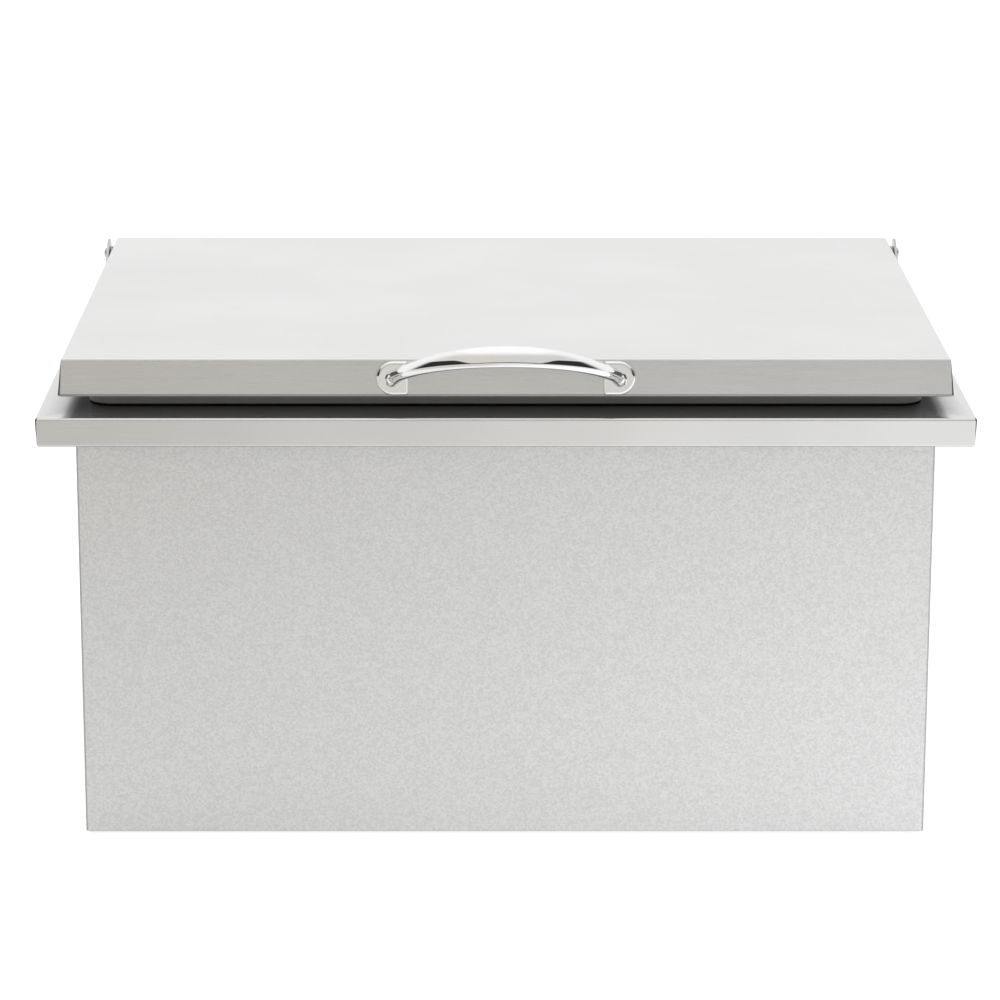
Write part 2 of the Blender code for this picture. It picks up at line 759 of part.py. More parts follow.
def foot_loop(side, inset, out):
    """The handle foot's outline: a half round outside, a straight edge inside."""
    radius = FOOT_RADIUS - inset
    centre = FOOT_OUTER - FOOT_RADIUS
    inner = FOOT_INNER + inset
    corner = FOOT_CORNER
    points = []
    for step in range(ROUND_STEPS + 1):
        angle = math.pi * (step / ROUND_STEPS - 0.5)
        points.append((centre + radius * math.cos(angle), radius * math.sin(angle)))
    for sign, first in ((1, 90), (-1, 180)):
        for step in range(BEND_STEPS + 1):
            angle = math.radians(first + 90 * step / BEND_STEPS)
            points.append((
                inner + corner + corner * math.cos(angle),
                sign * (radius - corner) + corner * math.sin(angle),
            ))
    return [(side * x, -out, z) for x, z in points]


def bow():
    """The bow's rise from its ends to its crown, its radius, and the way it arches: out and up."""
    arch = Vector((0, FOOT_THICK / 2 - BAR_REACH, BAR_RISE))
    rise = arch.length
    radius = (BAR_END_X ** 2 + rise ** 2) / (2 * rise)
    return rise, radius, arch.normalized()


def bar_loops():
    """Sections across the bow: broad at its crown, slimmer at each foot, where it is cut to lie flat."""
    rise, radius, arch = bow()
    root = Vector((0, -FOOT_THICK / 2, 0))
    broad = Vector((0, arch.z, -arch.y))
    half_turn = 2 * math.atan(rise / BAR_END_X)
    loops = []
    for i in range(BAR_STATIONS + 1):
        turn = half_turn * (2 * i / BAR_STATIONS - 1)
        height = rise - radius * (1 - math.cos(turn))
        away = max(height / rise, 0)
        centre = root + arch * height + Vector((radius * math.sin(turn), 0, 0))
        along = Vector((math.cos(turn), 0, 0)) - arch * math.sin(turn)
        thin = along.cross(broad)
        width = BAR_END_WIDTH + (BAR_MID_WIDTH - BAR_END_WIDTH) * away ** BAR_TAPER
        thick = BAR_END_THICK + (BAR_MID_THICK - BAR_END_THICK) * away
        loop = []
        for j in range(BAR_SIDES):
            angle = 2 * math.pi * j / BAR_SIDES
            across = broad * width / 2 * rounded(math.cos(angle))
            point = centre + across + thin * thick / 2 * rounded(math.sin(angle))
            if i in (0, BAR_STATIONS):
                point += along * (centre.y - point.y) / along.y
            loop.append(point)
        loops.append(loop)
    return loops


def rounded(value):
    """Turns a sine or cosine into that of a squarer oval."""
    return math.copysign(abs(value) ** (2 / BAR_SQUARENESS), value)


def lid_handle():
    """Cast handle: two feet on the front skirt and a grip that arches out and up between them."""
    handle = skin("lid_handle", bar_loops(), CHROME)
    where = on_skirt(0, 0)
    lean = (-DRAFT_ANGLE, 0, 0)
    place(handle, where, lean)
    for side, word in ((-1, "left"), (1, "right")):
        loops = [
            foot_loop(side, 0, GAP),
            foot_loop(side, 0, FOOT_THICK - FOOT_EDGE),
            foot_loop(side, FOOT_EDGE, FOOT_THICK),
        ]
        foot = place(skin(f"foot_{word}", loops, None), where, lean)
        combine(handle, foot, "UNION")
    for side, word in ((-1, "left"), (1, "right")):
        drill(handle, f"handle_bore_{word}", HANDLE_SCREW_RADIUS + GAP,
              on_skirt(side * BAR_END_X, 0), on_skirt(side * BAR_END_X, HANDLE_SCREW_GRIP + 2 * GAP))


def handle_screws():
    """Screws and washers that hold the handle from inside the lid."""
    face = -LID_SHEET - GAP
    under_head = face - HANDLE_WASHER_THICK - GAP
    screw_profile = [
        (HANDLE_SCREW_RADIUS, HANDLE_SCREW_GRIP),
        (HANDLE_SCREW_RADIUS, under_head),
    ]
    for radius, height in dome(HANDLE_SCREW_HEAD, HANDLE_SCREW_HEAD_HEIGHT):
        screw_profile.append((radius, under_head - height))
    washer_profile = (
        (HANDLE_WASHER_RADIUS, face - HANDLE_WASHER_THICK),
        (HANDLE_WASHER_RADIUS, face),
        (HANDLE_SCREW_RADIUS + GAP, face),
        (HANDLE_SCREW_RADIUS + GAP, face - HANDLE_WASHER_THICK),
    )
    turn = (math.pi / 2 - DRAFT_ANGLE, 0, 0)
    for side, word in ((-1, "left"), (1, "right")):
        where = on_skirt(side * BAR_END_X, 0)
        place(turned(f"handle_screw_{word}", screw_profile, GALVANISED), where, turn)
        place(turned(f"handle_washer_{word}", washer_profile, GALVANISED, ring=True), where, turn)


def ear_screw_x():
    """The ear screws stand halfway from the casing to the ear, so that their nuts have room outside it."""
    return (CASING.width / 2 + EAR_INNER) / 2


def stop_face():
    """Where the rear skirt's lower edge is when the lid is open as far as it goes."""
    angle = math.radians(STOP_ANGLE)
    below = PIVOT_HEIGHT - LID_LIFT
    y = PIVOT_SETBACK * math.cos(angle) - below * math.sin(angle)
    z = -PIVOT_SETBACK * math.sin(angle) - below * math.cos(angle)
    return PIVOT_Y + y, PIVOT_Z + z


def ear_screw_rows():
    last = stop_face()[0] - EAR_SCREW_FROM_STOP
    return (last - EAR_SCREW_SPACING, last)


def ear_outline():
    """The ear seen from the side: a sloping front edge and a round top about the pivot."""
    low = DECK_TOP + GAP
    front = PIVOT_Y - EAR_FRONT
    shoulder = Vector((front, low + EAR_FRONT_RISE))
    pivot = Vector((PIVOT_Y, PIVOT_Z))
    reach = shoulder - pivot
    first = math.atan2(reach.y, reach.x) % (2 * math.pi) - math.acos(EAR_ROUND / reach.length)
    points = [(PIVOT_Y + EAR_ROUND, low), (front, low), (front, low + EAR_FRONT_RISE)]
    for step in range(ROUND_STEPS + 1):
        angle = first * (1 - step / ROUND_STEPS)
        points.append((pivot.x + EAR_ROUND * math.cos(angle), pivot.y + EAR_ROUND * math.sin(angle)))
    return points


def hinge_ear(side, word):
    """Bent ear: a side plate with the pivot hole, a screwed foot, and a tab that stops the lid."""
    low = DECK_TOP + GAP
    stop_y, stop_z = stop_face()
    back = stop_y - GAP
    plate = prism_along_x(f"hinge_ear_{word}", ear_outline(), side * EAR_INNER, side * EAR_OUTER, STAINLESS)
    foot_edge = SEAL_WIDTH / 2 + EAR_FOOT_GAP
    stop_edge = LID_WIDTH / 2 - LID_HEM - EAR_FOOT_GAP
    middle = EAR_INNER + EAR_SHEET / 2
    xs = sorted((side * foot_edge, side * middle))
    foot = box(f"ear_foot_{word}", (xs[0], PIVOT_Y - EAR_FRONT, low), (xs[1], back, low + EAR_SHEET))
    combine(plate, foot, "UNION")
    xs = sorted((side * foot_edge, side * stop_edge))
    tab = box(f"ear_stop_{word}", (xs[0], back - EAR_SHEET, low), (xs[1], back, stop_z + STOP_RISE))
    combine(plate, tab, "UNION")
    outside = (side * (EAR_OUTER + EAR_SHEET), PIVOT_Y, PIVOT_Z)
    inside = (side * (EAR_INNER - EAR_SHEET), PIVOT_Y, PIVOT_Z)
    bush_radius = PIN_RADIUS + RUNNING_GAP + BUSH_WALL
    drill(plate, f"ear_pivot_hole_{word}", bush_radius + GAP, outside, inside, BUSH_STEPS)
    for number, y in enumerate(ear_screw_rows()):
        x = side * ear_screw_x()
        drill(plate, f"ear_hole_{word}_{number}", EAR_SCREW_RADIUS + GAP,
              (x, y, low + 2 * EAR_SHEET), (x, y, low - EAR_SHEET))


def ear_fasteners(side, word):
    """Two screws and nuts that hold the ear's foot to the deck."""
    head = DECK_TOP + 2 * GAP + EAR_SHEET
    tail = DECK_UNDERSIDE - GAP - NUT_HEIGHT - SCREW_TAIL
    for number, y in enumerate(ear_screw_rows(), 1):
        x = side * ear_screw_x()
        screw = turned(f"ear_screw_{word}_{number}", [
            (EAR_SCREW_RADIUS, tail - head),
            (EAR_SCREW_RADIUS, 0),
        ] + dome(EAR_SCREW_HEAD, EAR_SCREW_HEAD_HEIGHT), STAINLESS)
        place(screw, (x, y, head))
        piece = nut(f"ear_nut_{word}_{number}", NUT_ACROSS, NUT_HEIGHT, EAR_SCREW_RADIUS + GAP, STAINLESS)
        place(piece, (x, y, DECK_UNDERSIDE - GAP - NUT_HEIGHT))


def pivot_nut_far():
    """How far from the middle the pivot nuts' inner faces are."""
    skirt = LID_WIDTH / 2 - skirt_inset(PIVOT_Z)
    return skirt - LID_SHEET - NUT_ACROSS / 2 * math.tan(DRAFT_ANGLE) - 2 * GAP - NUT_HEIGHT


def pivot_set(side, word):
    """Flanged bush in the ear, and the domed pivot bolt and nut that turn in it with the lid."""
    toward = (0, side * math.pi / 2, 0)
    bore = PIN_RADIUS + RUNNING_GAP
    wall = bore + BUSH_WALL
    inner = EAR_INNER - GAP
    bush = turned(f"pivot_bush_{word}", (
        (BUSH_FLANGE, -BUSH_FLANGE_THICK),
        (BUSH_FLANGE, 0),
        (wall, 0),
        (wall, GAP + EAR_SHEET),
        (bore, GAP + EAR_SHEET),
        (bore, -BUSH_FLANGE_THICK),
    ), NYLON, ring=True, count=BUSH_STEPS)
    place(bush, (side * inner, PIVOT_Y, PIVOT_Z), toward)
    head = EAR_OUTER + GAP
    nut_far = pivot_nut_far()
    bolt = turned(f"pivot_bolt_{word}", [
        (PIN_RADIUS, nut_far - SCREW_TAIL - head),
        (PIN_RADIUS, 0),
    ] + dome(PIN_HEAD, PIN_HEAD_HEIGHT), STAINLESS)
    place(bolt, (side * head, PIVOT_Y, PIVOT_Z), toward)
    piece = nut(f"pivot_nut_{word}", NUT_ACROSS, NUT_HEIGHT, PIN_RADIUS + GAP, STAINLESS)
    place(piece, (side * nut_far, PIVOT_Y, PIVOT_Z), toward)


def hang_lid():
    """Parents the lid's pieces to an empty on the hinge line."""
    axis = bpy.data.objects.new("lid_hinge", None)
    axis.location = (0, PIVOT_Y, PIVOT_Z)
    bpy.context.collection.objects.link(axis)
    bpy.context.view_layer.update()
    for obj in bpy.data.objects:
        if obj.name.startswith(("lid_pan", "lid_foam", "lid_liner", "lid_handle", "handle_", "pivot_bolt",
                                "pivot_nut")):
            obj.parent = axis
            obj.matrix_parent_inverse = axis.matrix_world.inverted()


def main():
    for obj in list(bpy.data.objects):
        bpy.data.objects.remove(obj, do_unlink=True)
    base_pan()
    shell_wrap()
    back_panel()
    shell_rivets()
    foam_insulation()
    ice_tub()
    rim_deck()
    curb_seal()
    drain_fitting()
    drain_strainer()
    lid_pan()
    lid_liner()
    lid_foam()
    lid_handle()
    handle_screws()
    for side, word in ((-1, "left"), (1, "right")):
        hinge_ear(side, word)
        ear_fasteners(side, word)
        pivot_set(side, word)
    hang_lid()


main()
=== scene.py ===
# %% [markdown]
# # A drop-in ice bin in a white studio
#
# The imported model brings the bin's solids at their real size: a rim, a tub, a galvanised casing and a
# hinged lid. This lesson gives them their looks. Each step says what a piece is on the real bin, how it
# could be made in Blender, and why it is made the way it is.
#
# It imports the solids, and it notes what each new piece rides on.

# %% Load the frame
import json
import math

import bmesh
import bpy
from mathutils import Matrix, Vector


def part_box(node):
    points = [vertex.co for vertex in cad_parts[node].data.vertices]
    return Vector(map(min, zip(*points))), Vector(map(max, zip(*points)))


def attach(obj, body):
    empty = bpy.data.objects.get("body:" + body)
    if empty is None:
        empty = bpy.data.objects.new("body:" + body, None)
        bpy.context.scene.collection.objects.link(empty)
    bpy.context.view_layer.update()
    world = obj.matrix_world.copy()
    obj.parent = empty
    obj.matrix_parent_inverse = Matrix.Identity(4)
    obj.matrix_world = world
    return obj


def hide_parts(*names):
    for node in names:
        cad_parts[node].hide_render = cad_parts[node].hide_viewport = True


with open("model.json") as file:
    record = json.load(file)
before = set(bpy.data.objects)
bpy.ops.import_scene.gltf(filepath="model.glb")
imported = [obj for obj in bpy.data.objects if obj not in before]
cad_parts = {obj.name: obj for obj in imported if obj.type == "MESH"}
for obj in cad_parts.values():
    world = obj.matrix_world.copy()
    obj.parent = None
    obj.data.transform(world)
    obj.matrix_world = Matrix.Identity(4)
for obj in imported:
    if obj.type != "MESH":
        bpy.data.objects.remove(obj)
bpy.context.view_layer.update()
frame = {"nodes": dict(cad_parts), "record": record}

print("pieces in the frame:", len(frame["nodes"]))

# %% [markdown]
# ## Camera
#
# The picture was taken with a long lens from a little above the lid, and a small sideways shift brings
# its middle back into the frame. The values come from fitting a camera to the edges of the rim, the lid
# and the casing. A fitted camera is worth the effort, because every later comparison depends on it.

# %% Camera
IMAGE_SIDE = 1000
FOCAL_PIXELS = 3853
MIDDLE_PIXEL = 474
CAMERA_PLACE = (-0.0241, -3.0769, 1.029)
CAMERA_TILT = 75.06
SENSOR_WIDTH = 36
FAR_CLIP = 100


def placed(name, data):
    """A new object in the scene."""
    obj = bpy.data.objects.new(name, data)
    bpy.context.scene.collection.objects.link(obj)
    return obj


camera_data = bpy.data.cameras.new("camera")
camera_data.sensor_width = SENSOR_WIDTH
camera_data.lens = SENSOR_WIDTH * FOCAL_PIXELS / IMAGE_SIDE
camera_data.shift_x = (IMAGE_SIDE / 2 - MIDDLE_PIXEL) / IMAGE_SIDE
camera_data.clip_end = FAR_CLIP
camera = placed("camera", camera_data)
camera.location = CAMERA_PLACE
camera.rotation_euler = (math.radians(CAMERA_TILT), 0, 0)
bpy.context.scene.camera = camera
print("lens", round(camera_data.lens, 1), "mm")

# %% [markdown]
# ## Wiring helper
#
# Materials, the studio's light and the patterns are all node trees. A small class adds a node, sets or
# links its inputs and hands back the node, so that each tree below reads as a list of steps. Two
# functions start an empty group and an empty material.

# %% Wiring helper
SOCKET_KINDS = {float: "Float", int: "Int"}


class Wiring:
    """Adds nodes to one tree and links them."""

    def __init__(self, tree):
        self.tree = tree

    def put(self, socket, value):
        """Links a socket to another, or sets its own value."""
        if isinstance(value, bpy.types.NodeSocket):
            self.tree.links.new(value, socket)
        else:
            socket.default_value = value

    def add(self, kind, inputs=None, **settings):
        """A new node, with its settings and then its inputs."""
        node = self.tree.nodes.new(kind)
        for name, value in settings.items():
            setattr(node, name, value)
        for key, value in (inputs or {}).items():
            self.put(node.inputs[key], value)
        return node

    def fed(self, node, values):
        """A node's first result, once its inputs are set in their order."""
        for socket, value in zip(node.inputs, values):
            self.put(socket, value)
        return node.outputs[0]

    def math(self, operation, *values, clamp=False):
        """The result of a Math node."""
        return self.fed(self.add("ShaderNodeMath", operation=operation, use_clamp=clamp), values)

    def times(self, first, second):
        """The product of two numbers."""
        return self.math("MULTIPLY", first, second)

    def vector(self, operation, *values):
        """The result of a Vector Math node."""
        return self.fed(self.add("ShaderNodeVectorMath", operation=operation), values)

    def range(self, value, low, high, to_low=0.0, to_high=1.0):
        """A value carried smoothly from one range to another."""
        node = self.add("ShaderNodeMapRange", interpolation_type="SMOOTHSTEP")
        return self.fed(node, (value, low, high, to_low, to_high))

    def mix(self, share, first, second, kind="Color"):
        """A Mix node's result, for colours or vectors."""
        node = self.add("ShaderNodeMix", data_type={"Color": "RGBA", "Vector": "VECTOR"}[kind])
        for key, value in (("Factor_Float", share), (f"A_{kind}", first), (f"B_{kind}", second)):
            socket = next(s for s in node.inputs if s.identifier == key)
            self.put(socket, (*value, 1) if isinstance(value, tuple) else value)
        return next(s for s in node.outputs if s.identifier == f"Result_{kind}")

    def axes(self, vector):
        """The X, Y and Z of a vector."""
        return self.add("ShaderNodeSeparateXYZ", {"Vector": vector}).outputs

    def joined(self, x, y, z=0.0):
        """A vector from three numbers."""
        return self.add("ShaderNodeCombineXYZ", {"X": x, "Y": y, "Z": z}).outputs[0]

    def own(self, kind="Object"):
        """The piece's own coordinates, or with "Normal" its own normals."""
        return self.add("ShaderNodeTexCoord").outputs[kind]


def new_group(name, kind, inputs, outputs):
    """An empty node group, its wiring, and its input and output sockets.

    An input's socket is named with its first value, or with its kind where it has no value.
    """
    group = bpy.data.node_groups.new(name, kind)
    for label, value in inputs.items():
        has_value = not isinstance(value, str)
        socket_kind = SOCKET_KINDS[type(value)] if has_value else value
        socket = group.interface.new_socket(
            name=label, in_out="INPUT", socket_type=f"NodeSocket{socket_kind}")
        if has_value:
            socket.default_value = value
    for label, socket_kind in outputs.items():
        group.interface.new_socket(name=label, in_out="OUTPUT", socket_type=f"NodeSocket{socket_kind}")
    wiring = Wiring(group)
    return group, wiring, wiring.add("NodeGroupInput").outputs, wiring.add("NodeGroupOutput").inputs


def new_material(name, roughness, metallic):
    """A material, its wiring and its shader."""
    material = bpy.data.materials.new(name)
    material.use_nodes = True
    shader = material.node_tree.nodes["Principled BSDF"]
    shader.inputs["Metallic"].default_value = metallic
    shader.inputs["Roughness"].default_value = roughness
    return material, Wiring(material.node_tree), shader


# %% [markdown]
# ## Studio
#
# Polished and brushed steel show little colour of their own. What the eye reads as their tone is the
# room, so the room is the first material. Behind the bin and overhead it is bright, which the level lid
# mirrors. On the camera's side it is greyer, warmer to the left and brighter to the right, which the
# upright faces mirror. The chromed handle also needs something dark to mirror: a low band, thin straight
# ahead and tall to both sides, draws the dark line along its underside, which is thin at the crown and
# thicker at the quarters. Only reflections meet these tones: seen directly, the floor and the background
# are one plain pale tone from all sides.

# %% Studio floor and room
FLOOR_DROP = 0.0005
FLOOR_SIDE = 11.0
FLOOR_COLOUR = (0.60, 0.60, 0.60)
FLOOR_NEAR_LEFT = (0.46, 0.46, 0.45)
FLOOR_NEAR_RIGHT = (0.79, 0.79, 0.79)
FLOOR_FRONT_LEFT = (0.13, 0.11, 0.08)
FLOOR_FRONT_RIGHT = (0.52, 0.52, 0.52)
FLOOR_FAR = (0.28, 0.26, 0.23)
FLOOR_PLAIN = (0.70, 0.70, 0.70)
ROOM_BACK = (1.02, 1.02, 1.02)
ROOM_FRONT_LEFT = (0.75, 0.705, 0.65)
ROOM_FRONT_RIGHT = (0.71, 0.715, 0.69)
ROOM_OVERHEAD = (1.06, 1.06, 1.06)
ROOM_BAND = (0.03, 0.03, 0.03)
ROOM_PLAIN = (1.04, 1.04, 1.04)
FLOOR_SIDEWAYS = (-0.6, 0.6)
FLOOR_FAR_FADE = (-3.6, -2.2)
FLOOR_NEAR_FADE = (-1.3, -0.45)
ROOM_SIDEWAYS = (-0.35, 0.35)
ROOM_UPWARDS = (0.70, 0.93)
ROOM_BACKWARDS = (-0.35, 0.25)
BAND_LOW = 0.05
BAND_HIGH_MIDDLE = 0.15
BAND_HIGH_ASIDE = 0.52
BAND_ASIDE = (0.45, 0.70)
BAND_END = (-0.20, 0.05)
BAND_SOFT = 0.01


def studio_floor():
    bpy.ops.mesh.primitive_plane_add(size=FLOOR_SIDE, location=(0, 0, -FLOOR_DROP))
    floor = bpy.context.object
    floor.name = "studio_floor"
    material, wiring, shader = new_material("pale_floor", roughness=0.9, metallic=0.0)
    shader.inputs["Base Color"].default_value = (*FLOOR_COLOUR, 1)
    shader.inputs["Specular IOR Level"].default_value = 0.0
    axes = wiring.axes(wiring.own())
    sideways = wiring.range(axes["X"], *FLOOR_SIDEWAYS)
    front = wiring.mix(sideways, FLOOR_FRONT_LEFT, FLOOR_FRONT_RIGHT)
    front = wiring.mix(wiring.range(axes["Y"], *FLOOR_FAR_FADE), FLOOR_FAR, front)
    near = wiring.mix(sideways, FLOOR_NEAR_LEFT, FLOOR_NEAR_RIGHT)
    glow = wiring.mix(wiring.range(axes["Y"], *FLOOR_NEAR_FADE), front, near)
    seen = wiring.add("ShaderNodeLightPath").outputs["Is Camera Ray"]
    wiring.put(shader.inputs["Emission Color"], wiring.mix(seen, glow, FLOOR_PLAIN))
    shader.inputs["Emission Strength"].default_value = 1.0
    floor.data.materials.append(material)


def room():
    world = bpy.data.worlds.new("studio_room")
    world.use_nodes = True
    bpy.context.scene.world = world
    wiring = Wiring(world.node_tree)
    axes = wiring.axes(wiring.add("ShaderNodeTexCoord").outputs["Generated"])
    front = wiring.mix(wiring.range(axes["X"], *ROOM_SIDEWAYS), ROOM_FRONT_LEFT, ROOM_FRONT_RIGHT)
    level = wiring.mix(wiring.range(axes["Y"], *ROOM_BACKWARDS), front, ROOM_BACK)
    aside = wiring.math("ABSOLUTE", axes["X"])
    band_high = wiring.range(aside, *BAND_ASIDE, BAND_HIGH_MIDDLE, BAND_HIGH_ASIDE)
    under_top = wiring.range(wiring.math("SUBTRACT", band_high, axes["Z"]), -BAND_SOFT, BAND_SOFT)
    over_foot = wiring.range(axes["Z"], BAND_LOW - BAND_SOFT, BAND_LOW + BAND_SOFT)
    ahead = wiring.range(axes["Y"], *BAND_END, 1.0, 0.0)
    band = wiring.times(wiring.times(under_top, over_foot), ahead)
    banded = wiring.mix(band, level, ROOM_BAND)
    whole = wiring.mix(wiring.range(axes["Z"], *ROOM_UPWARDS), banded, ROOM_OVERHEAD)
    seen = wiring.add("ShaderNodeLightPath").outputs["Is Camera Ray"]
    background = world.node_tree.nodes["Background"]
    wiring.put(background.inputs["Color"], wiring.mix(seen, whole, ROOM_PLAIN))
    background.inputs["Strength"].default_value = 1.0


studio_floor()
room()
bpy.context.scene.view_settings.view_transform = "Standard"

# %% [markdown]
# A large soft box overhead finishes the studio. It is only a little brighter than the room round it, so
# that the chrome mirrors no hard edge of it.

# %% Soft box
BOX_HEIGHT = 4.0
BOX_SIDE = 4.0
BOX_POWER = 3


def soft_box():
    """A square lamp high over the bin. A new light points straight down, so it needs no turning."""
    data = bpy.data.lights.new("box_overhead", "AREA")
    data.shape = "SQUARE"
    data.size = BOX_SIDE
    data.energy = BOX_POWER
    placed("box_overhead", data).location = (0, 0, BOX_HEIGHT)


soft_box()

# %% [markdown]
# ## Surface patterns
#
# Sheet steel of this kind is brushed: thousands of fine straight scratches that all run the same way.
# They could be painted as an image, but a noise stretched along one axis gives the same lines at any
# scale and needs no file. The sheet is folded after it is brushed, so on the end walls, which turn
# down about the other axis, the lines stand upright. The pattern reads the piece's own coordinates and
# its own normals, so it stays put when the lid swings.

# %% Brushed grain
END_WALL_NORMAL = 0.7


def brushed_group():
    group, wiring, given, result = new_group(
        "brushed_grain", "ShaderNodeTree",
        {"Line Width": 0.00035, "Line Length": 0.05, "Cloud Size": 0.12},
        {"Grain": "Float", "Cloud": "Float"})
    place = wiring.own()
    axes = wiring.axes(place)
    sideways = wiring.math("ABSOLUTE", wiring.axes(wiring.own("Normal"))["X"])
    end_wall = wiring.math("GREATER_THAN", sideways, END_WALL_NORMAL)
    turned_down = wiring.joined(axes["Z"], axes["Y"], axes["X"])
    brushed = wiring.mix(end_wall, place, turned_down, "Vector")
    lengthwise = wiring.math("DIVIDE", 1.0, given["Line Length"])
    crosswise = wiring.math("DIVIDE", 1.0, given["Line Width"])
    stretched = wiring.vector("MULTIPLY", brushed, wiring.joined(lengthwise, crosswise, crosswise))
    lines = wiring.add("ShaderNodeTexNoise", {
        "Vector": stretched, "Scale": 1.0, "Detail": 3.0, "Roughness": 0.6})
    cloud_scale = wiring.math("DIVIDE", 1.0, given["Cloud Size"])
    cloud = wiring.add("ShaderNodeTexNoise", {"Vector": place, "Scale": cloud_scale, "Detail": 2.0})
    wiring.put(result["Grain"], lines.outputs["Fac"])
    wiring.put(result["Cloud"], cloud.outputs["Fac"])
    return group


BRUSHED = brushed_group()

# %% [markdown]
# The casing is galvanised. Its zinc coat froze in small crystals, so it is grey, matt and finely
# mottled, with a bright speck here and there. Cells from a Voronoi texture stand for the crystals, and
# a finer noise breaks up their edges. Along the folds and the cut foot the coat gets a painted shade,
# darker, which a mask from the normals and the height gives.

# %% Zinc crystals
CRYSTAL_EDGE = 0.0016
CRYSTAL_SHARE = 0.35
SPECK_FADE = (0.62, 0.76)
# Where the painted shade falls: on the folds, by the normals, and along the cut foot, by the height.
FOLD_SHADE_FADE = (0.05, 0.40)
FOOT_SHADE_FADE = (0.0005, 0.0018)


def zinc_group():
    group, wiring, given, result = new_group(
        "zinc_crystals", "ShaderNodeTree",
        {"Crystal Size": 0.0015, "Speck Size": 0.0012},
        {"Mottle": "Float", "Speck": "Float", "Fold_Shade": "Float"})
    place = wiring.own()
    normal = wiring.axes(wiring.own("Normal"))
    ragged = wiring.add("ShaderNodeTexNoise", {"Vector": place, "Scale": 900.0, "Detail": 2.0})
    push = wiring.vector("MULTIPLY_ADD", ragged.outputs["Color"],
                         (CRYSTAL_EDGE,) * 3, (-CRYSTAL_EDGE / 2,) * 3)
    cells = wiring.add("ShaderNodeTexVoronoi", {
        "Vector": wiring.vector("ADD", place, push),
        "Scale": wiring.math("DIVIDE", 1.0, given["Crystal Size"])})
    tone = wiring.add("ShaderNodeSeparateColor", {"Color": cells.outputs["Color"]}).outputs[0]
    speck_scale = wiring.math("DIVIDE", 1.0, given["Speck Size"])
    fine = wiring.add("ShaderNodeTexNoise", {"Vector": place, "Scale": speck_scale, "Detail": 3.0})
    both_ways = wiring.math("ABSOLUTE", wiring.times(normal["X"], normal["Y"]))
    # The cut foot and the folds get a painted shade.
    foot = wiring.range(wiring.axes(place)["Z"], *FOOT_SHADE_FADE, 1.0, 0.0)
    mottle = wiring.math("ADD", wiring.times(tone, CRYSTAL_SHARE),
                         wiring.times(fine.outputs["Fac"], 1 - CRYSTAL_SHARE))
    wiring.put(result["Mottle"], mottle)
    wiring.put(result["Speck"], wiring.range(fine.outputs["Fac"], *SPECK_FADE))
    wiring.put(result["Fold_Shade"], wiring.math("MAXIMUM", wiring.range(both_ways, *FOLD_SHADE_FADE), foot))
    return group


ZINC = zinc_group()
print("patterns:", BRUSHED.name, ZINC.name)

# %% [markdown]
# ## Materials
#
# Each finish is one function. The shader, with its constant values, stays in the material, and the
# groups above feed it only what changes over the surface: colour, roughness and the height of a bump.
# The chrome's undersides get a painted shade, darker and greyer, and are rougher too, and the rubber
# gets a painted shadow, black along the seal's foot.

# %% Material helpers
def pattern(wiring, group, **values):
    """The results of a pattern's group, placed with its own values."""
    node = wiring.add("ShaderNodeGroup", node_tree=group)
    for label, value in values.items():
        node.inputs[label.replace("_", " ")].default_value = value
    return node.outputs


def noise(wiring, scale, detail):
    """A plain noise in the piece's own coordinates."""
    node = wiring.add("ShaderNodeTexNoise", {"Vector": wiring.own(), "Scale": scale, "Detail": detail})
    return node.outputs["Fac"]


def tint(wiring, share, dark, light):
    """A colour between two, by a share from 0 to 1."""
    ramp = wiring.add("ShaderNodeValToRGB", {"Fac": share})
    ramp.color_ramp.elements[0].color = (*dark, 1)
    ramp.color_ramp.elements[1].color = (*light, 1)
    return ramp.outputs["Color"]


def surface(wiring, shader, colour, rough=None, height=None, depth=0.0):
    """Feeds the shader its colour and, where given, its roughness and a bump of a depth in metres."""
    wiring.put(shader.inputs["Base Color"], colour)
    if rough is not None:
        wiring.put(shader.inputs["Roughness"], rough)
    if height is not None:
        bump = wiring.add("ShaderNodeBump", {"Height": height, "Distance": depth})
        wiring.put(shader.inputs["Normal"], bump.outputs["Normal"])


# %% Steel, zinc and chrome
GRAIN_LINE = 0.00035
GRAIN_DEPTH = 0.000004
GRAIN_SHARE = 0.35
GRAIN_TONES = (0.35, 0.65)
GRAIN_SPREAD = (0.25, 0.75)
GRAIN_ROUGH = (-0.04, 0.06)
# The dark colour of the seams and of the painted shade, and how the attribute reaches it.
SEAM_AND_SHADE_FADE = (0.1, 0.7)
SEAM_AND_SHADE_COLOUR = (0.09, 0.09, 0.095)
ZINC_DARK = (0.69, 0.695, 0.70)
ZINC_LIGHT = (0.815, 0.82, 0.825)
# The painted shade's colour on the folds and the foot, and how much of it.
ZINC_PAINTED_SHADE = (0.30, 0.30, 0.305)
ZINC_SHADE_SHARE = 0.7
ZINC_MOTTLE_SHARE = 0.75
ZINC_SPECK_SHARE = 0.6
ZINC_TONES = (0.25, 0.75)
ZINC_SPREAD = (0.2, 0.8)
ZINC_ROUGH = (0.56, 0.44)
ZINC_DEPTH = 0.00002
HAZE_SPREAD = (0.3, 0.7)
CHROME_TONES = ((0.86, 0.865, 0.87), (0.90, 0.90, 0.905))
CHROME_ROUGH = (0.035, 0.075)
# The chrome's painted shade on its undersides, and where it fades in.
CHROME_UNDERSIDE_SHADE = (0.34, 0.34, 0.345)
CHROME_UNDER_ROUGH = 0.28
CHROME_UNDERSIDE_SHADE_FADE = (-0.80, -0.55)


